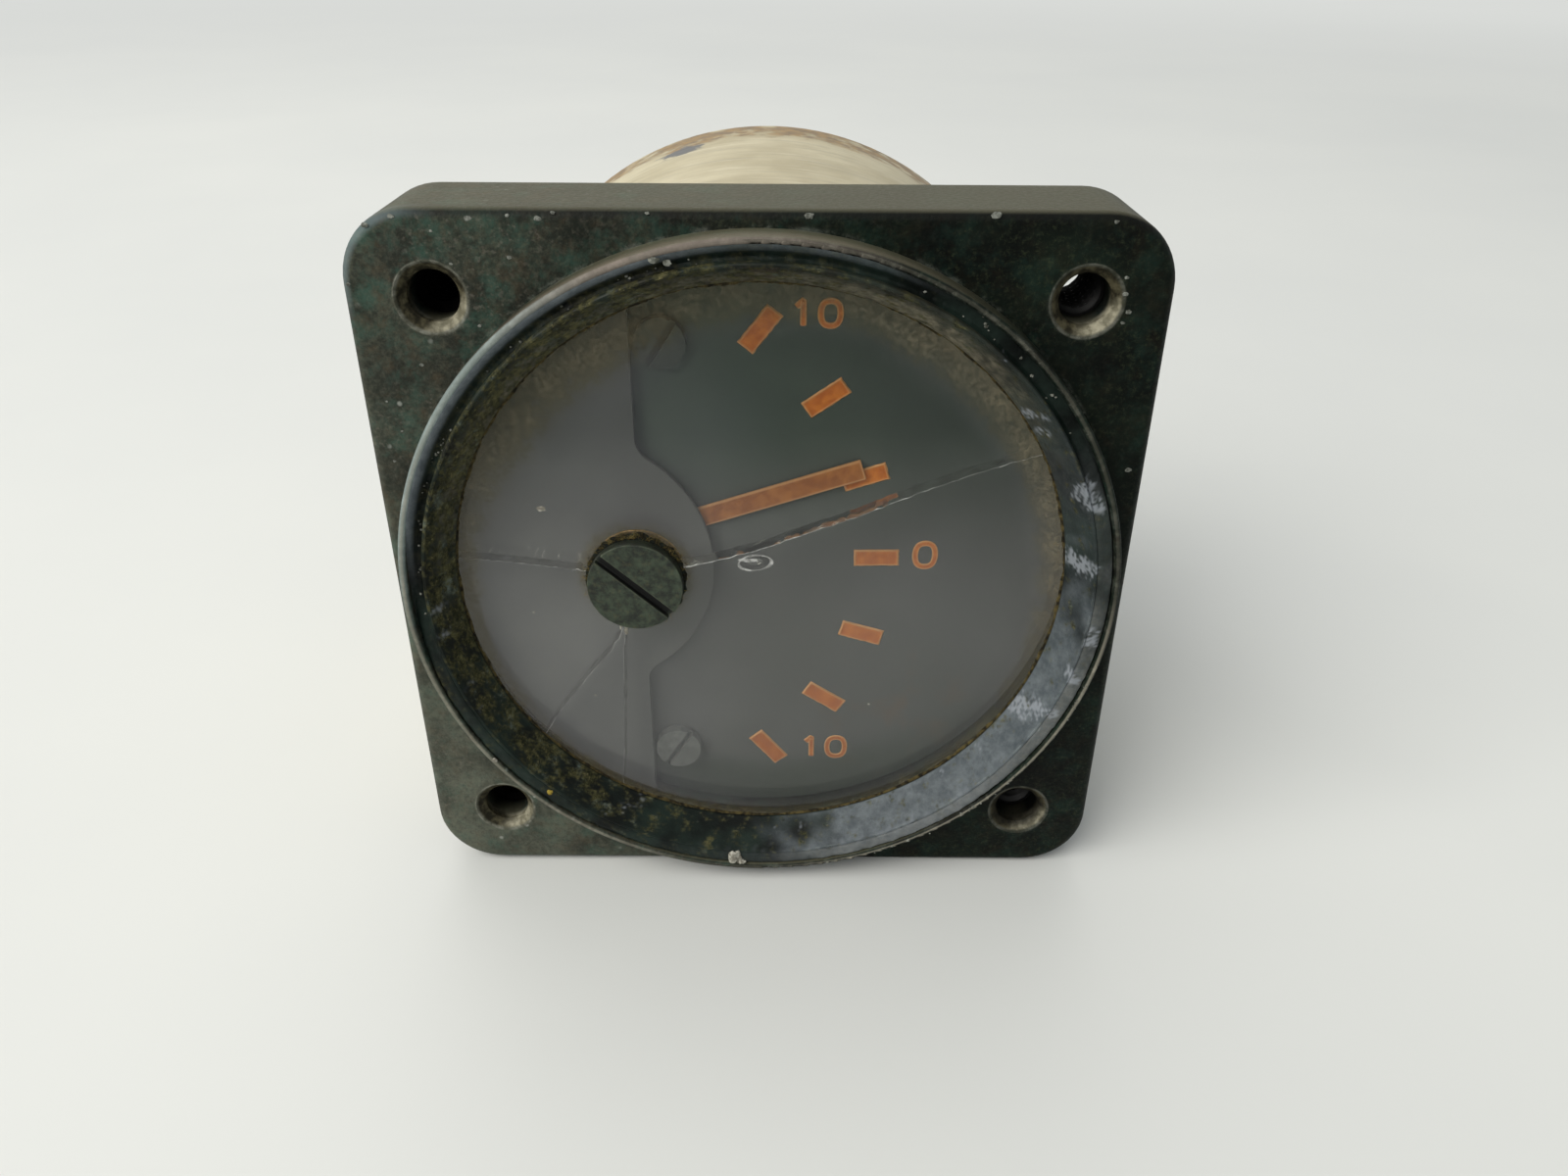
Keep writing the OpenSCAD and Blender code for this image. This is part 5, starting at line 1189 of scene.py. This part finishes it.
def hex_nut(x, y):
    """A nut: each angle's section runs out to the hexagon's side, cut by a 30 degree cone."""
    turn = np.radians(np.arange(0, 360, 3.75))[:, None]
    out_r = NUT_FLATS / 2 / np.cos((turn % (np.pi / 3)) - np.pi / 6)
    face_r = NUT_FLATS / 2 * 0.96 + 0 * turn
    drop = (out_r - face_r) * np.tan(np.pi / 6)
    bore, ease = BORE_R + 0 * turn, 0.25
    radii = np.concatenate([bore + ease, bore, bore, bore + ease, face_r, out_r, out_r, face_r],
                           axis=1)
    front, back = y + 0 * turn, y + NUT_THICK + 0 * turn
    ys = np.concatenate([front, front + ease, back - ease, back, back, back - drop,
                         front + drop, front], axis=1)
    return round_axis(radii, turn, ys, x)


stands_for(surface("terminal_nuts_dressed", [
    hex_nut(x, y) for x in (-STUD_X, STUD_X) for y in (INNER_NUT, OUTER_NUT)],
    material=brass), "terminal_nuts")


def threaded(x, crest, y0, y1, root_depth):
    """A thread: a rod whose radius falls by a sawtooth that climbs one pitch in each turn."""
    ys = np.concatenate([[y0, y0], np.arange(y0, y1, 0.07), [y1, y1]])
    turn = all_round(40).T
    tooth = abs(((ys[:, None] / STUD_PITCH - turn / (2 * np.pi)) % 1) * 2 - 1)
    to_end = np.minimum(ys - y0, y1 - ys)[:, None]
    radius = crest - root_depth * (1 - tooth) - 0.35 * (1 - smooth_step(to_end, 0, 0.4))
    radius[[0, -1]] = 0
    return round_axis(radius, turn, ys[:, None], x)


# the stout and the slim length of a stud: its crest's radius, its start and its end
STUD_LENGTHS = (2.0, 28.6, 43.1), (1.75, 43.05, 47.6)
stands_for(surface("terminal_studs_dressed", [
    threaded(x, crest, y0, y1, 0.22) for x in (-STUD_X, STUD_X)
    for crest, y0, y1 in STUD_LENGTHS], close_rows=False, material=brass), "terminal_studs")
softened("terminal_washers", 0.08, tinned)
softened("solder_tags", 0.06, tinned)

# moulded phenolic resin: dark brown and glossy, with paler flecks of its filler
phenolic = empty_material("moulded_phenolic")
resin = laid_over("#2A1B13", "#4A3324", noise(1.3, 0.34, 0.7, detail=6))
coated(laid_over(resin, "#6B4A33", noise(0.3, 0.6, 0.72), 0.5), 0.35, {"IOR": 1.6})
for name in ("terminal_bushes", "terminal_insulators", "resistor_board"):
    softened(name, 0.15, phenolic)


# --- Case screws --------------------------------------------------------------------------------
# Two cheese-head screws with slots, turned from steel, zinc plated and dulled. They draw the can
# on to its pillars, each over a rubber washer.
steel = metal("dull_plated_steel", "#6C6E6E", "#9A9C9A", 0.42, 0.2)
softened("case_screws", 0.15, steel)


# --- Moving coil --------------------------------------------------------------------------------
# Enamelled copper wire wound in rows on a rectangular aluminium former that swings round the
# magnet, between two steel staffs. The winding is one helix with its turns side by side.
# drawn wire under clear enamel: reddish metal with a hard gloss over it
copper = empty_material("enamelled_copper_wire")
coated(laid_over("#7E3F22", "#B0633A", noise(1.0, 0.34, 0.7)), 0.3, {
    "Metallic": 1.0, "Coat Weight": 0.6})

COIL_HALF, COIL_Y0, COIL_Y1, COIL_DEEP, WINDING, TURNS = 8.3, -1.55, 15.7, 4.0, 0.7, 15
CORNER_R, WIRE_RIDGE = 0.9, 0.05
# a rectangle with rounded corners, carried through the coil's depth; a half sine over each wire
# gives the ridges, whose phase gains one wire in each round, and all is turned to the pointer
corner = np.radians(np.arange(0, 91, 15))
half_long, half_wide = (COIL_Y1 - COIL_Y0) / 2, COIL_HALF
bearings = np.concatenate([corner + start for start in np.pi / 2 * np.arange(4)])[:, None]
outward = np.concatenate([np.cos(bearings), np.sin(bearings)], axis=1)
middles = np.array([[1, 1], [-1, 1], [-1, -1], [1, -1]]) * [half_wide - CORNER_R,
                                                            half_long - CORNER_R]
loop = np.repeat(middles, len(corner), axis=0) + CORNER_R * outward
share = np.linspace(0, 1, len(loop), endpoint=False)[:, None]
depth = np.linspace(-COIL_DEEP / 2, COIL_DEEP / 2, TURNS * 8 + 1)
ridge = WIRE_RIDGE * abs(np.sin(np.pi * ((depth + COIL_DEEP / 2) * TURNS / COIL_DEEP + share)))
both_ends = np.zeros((len(loop), 2))
outer = np.concatenate([ridge - WIRE_RIDGE, both_ends - WINDING], axis=1)
deep = np.concatenate([depth + 0 * share, both_ends + [COIL_DEEP / 2, -COIL_DEEP / 2]], axis=1)
flat_x = loop[:, :1] + outward[:, :1] * outer
flat_y = loop[:, 1:] + outward[:, 1:] * outer + (COIL_Y0 + COIL_Y1) / 2
slope = np.radians(POINTER_SLOPE)
stands_for(surface("coil_winding_dressed", [np.stack([
    PIVOT_X + flat_x * np.cos(slope) - deep * np.sin(slope), flat_y,
    flat_x * np.sin(slope) + deep * np.cos(slope)], axis=2)], material=copper), "coil_winding")


# --- Hairsprings --------------------------------------------------------------------------------
# Two flat bronze strips wound in four turns, one in front of the coil and one behind it. They
# carry the current, and their twist brings the pointer back.
# bronze rolled to strip: brown-gold, and smooth enough to shine
bronze = metal("rolled_phosphor_bronze", "#8F6E45", "#C09A66", 0.3, 0.15)


SPRING_IN, SPRING_OUT, STRIP_HALF, STRIP_WIDE = 1.28, 4.51, 0.06, 0.5


def hairspring(y):
    """A spiral of Archimedes whose strip has a rectangular section, ending at the left."""
    turn = np.linspace(-8 * np.pi, 0, 385)
    radius = np.linspace(SPRING_IN, SPRING_OUT, 385)[:, None]
    section = np.array([[-STRIP_HALF, 0], [STRIP_HALF, 0], [STRIP_HALF, STRIP_WIDE],
                        [-STRIP_HALF, STRIP_WIDE]])
    return round_axis(radius + section[:, 0], (np.pi + turn)[:, None], y + section[:, 1],
                      PIVOT_X)


def capped(grid):
    """The grid with each open end drawn to its own middle, so that the tube is closed."""
    return np.concatenate([grid[:1].mean(axis=1, keepdims=True) + 0 * grid[:1], grid,
                           grid[-1:].mean(axis=1, keepdims=True) + 0 * grid[-1:]])


for name, y in (("front_hairspring", -3.25), ("rear_hairspring", 16.3)):
    stands_for(surface(name + "_dressed", [capped(hairspring(y))], close_rows=False,
                       material=bronze), name)


# --- Series resistor and leads ------------------------------------------------------------------
# A wire-wound resistor under green vitreous enamel, its legs through the laminate board, and
# three stranded leads in red-brown sleeving to the yoke, the rear spring post and the terminals.
# glass enamel fired on the winding: a mottled dark green with a wet gloss
vitreous = empty_material("green_vitreous_enamel")
coated(laid_over("#2F4C36", "#486B4E", noise(1.2, 0.34, 0.7)), 0.22, {
    "IOR": 1.52, "Coat Weight": 0.4})


def swept(route, radius, cuts=3):
    """A round wire along a route whose corners are cut, its sections square to its direction:
    each is a circle of 12 points on two sides found by the cross product."""
    line = eased(np.array(route, float), cuts, closed=False)
    ahead = np.gradient(line, axis=0)
    ahead /= np.linalg.norm(ahead, axis=1)[:, None]
    side = np.cross(ahead, np.array([0.62, 0.11, 0.31]))
    side /= np.linalg.norm(side, axis=1)[:, None]
    up = np.cross(ahead, side)
    turn = all_round(12)
    return capped(line[:, None] + radius * (np.cos(turn) * side[:, None]
                                            + np.sin(turn) * up[:, None]))


RESISTOR_X, RESISTOR_Y, RESISTOR_R, LEG_Z, BOARD_BACK = 6.0, 21.0, 2.6, 10.2, 25.1
# a barrel turned round Z: its enamel swells by a cosine over each wire and thins at the ends
HALF_LONG, WOUND_TO, WINDING_PITCH = 9.0, 7.6, 0.6
z = np.linspace(-HALF_LONG, HALF_LONG, 121)
barrel = RESISTOR_R - 0.06 - 0.12 * smooth_step(abs(z), WOUND_TO, 8.0) + 0.05 * np.cos(
    2 * np.pi * z / WINDING_PITCH) * (abs(z) < WOUND_TO)
profile = np.concatenate([[[0, -HALF_LONG]], np.stack([barrel, z], axis=1), [[0, HALF_LONG]]])
angle = all_round(48)
stands_for(surface("series_resistor_dressed", [np.stack([
    RESISTOR_X + profile[:, 0] * np.cos(angle), RESISTOR_Y + profile[:, 0] * np.sin(angle),
    profile[:, 1] + 0 * angle], axis=2)], close_columns=False, material=vitreous),
    "series_resistor")
legs = surface("resistor_legs", [swept([
    (RESISTOR_X, RESISTOR_Y, s * 8.9), (RESISTOR_X, RESISTOR_Y, s * (LEG_Z - 0.2)),
    (RESISTOR_X, RESISTOR_Y + 0.2, s * LEG_Z), (RESISTOR_X, BOARD_BACK + 0.6, s * LEG_Z)],
    0.33, cuts=1) for s in (-1, 1)], close_rows=False, material=tinned)
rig.ride(legs, "housing")
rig.slot(legs, "tinned_brass")

# woven and varnished cotton sleeving: red-brown and dull
sleeving = empty_material("cambric_sleeving")
coated(laid_over("#5E231B", "#8A3A2C", noise(0.5, 0.36, 0.66)), 0.6, {"IOR": 1.5})
TAG_Y, TAG_Z = 31.95, -7.0
LEADS = [
    [(-21, 18.7, 0), (-21, 22.7, 0), (-13, TAG_Y - 4, TAG_Z - 4), (-10, TAG_Y, TAG_Z - 3),
     (-10, TAG_Y, TAG_Z + 2)],
    [(6, 25.7, -LEG_Z), (6, 30.7, -LEG_Z), (10, TAG_Y, TAG_Z - 3), (10, TAG_Y, TAG_Z + 2)],
    [(6, 25.7, LEG_Z), (6, 29.7, LEG_Z), (-3, 29.7, LEG_Z - 2), (-3, 19.6, 3),
     (-6.25, 17.6, 0), (-6.25, 13.6, 0)],
]
stands_for(surface("leads_dressed", [swept(route, 0.45) for route in LEADS], close_rows=False,
                   material=sleeving), "leads")


# --- The rest of the movement -------------------------------------------------------------------
# Turned, milled and sheet-metal pieces sealed inside the case: brass bridges, pillars and posts,
# steel staffs and screws, a soft-iron yoke, the core magnet and the aluminium plate.
aluminium = metal("milled_aluminium", "#9EA1A4", "#C2C5C8", 0.4, 0.3)
iron = metal("nickelled_soft_iron", "#5C5E60", "#85878A", 0.45, 0.35)
METALS = {"brass": brass, "steel": steel, "aluminium": aluminium, "soft_iron": iron,
          "spring_bronze": bronze, "tinned_brass": tinned}
for name, piece in nodes.items():
    if not piece.hide_render:
        softened(name, 0.06, METALS[SLOT_OF[name]])


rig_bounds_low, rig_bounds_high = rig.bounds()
with open("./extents.json", "w") as size_file:
    json.dump({"cad": [list(cad_low), list(cad_high)],
               "visual": [list(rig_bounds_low), list(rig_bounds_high)]}, size_file)
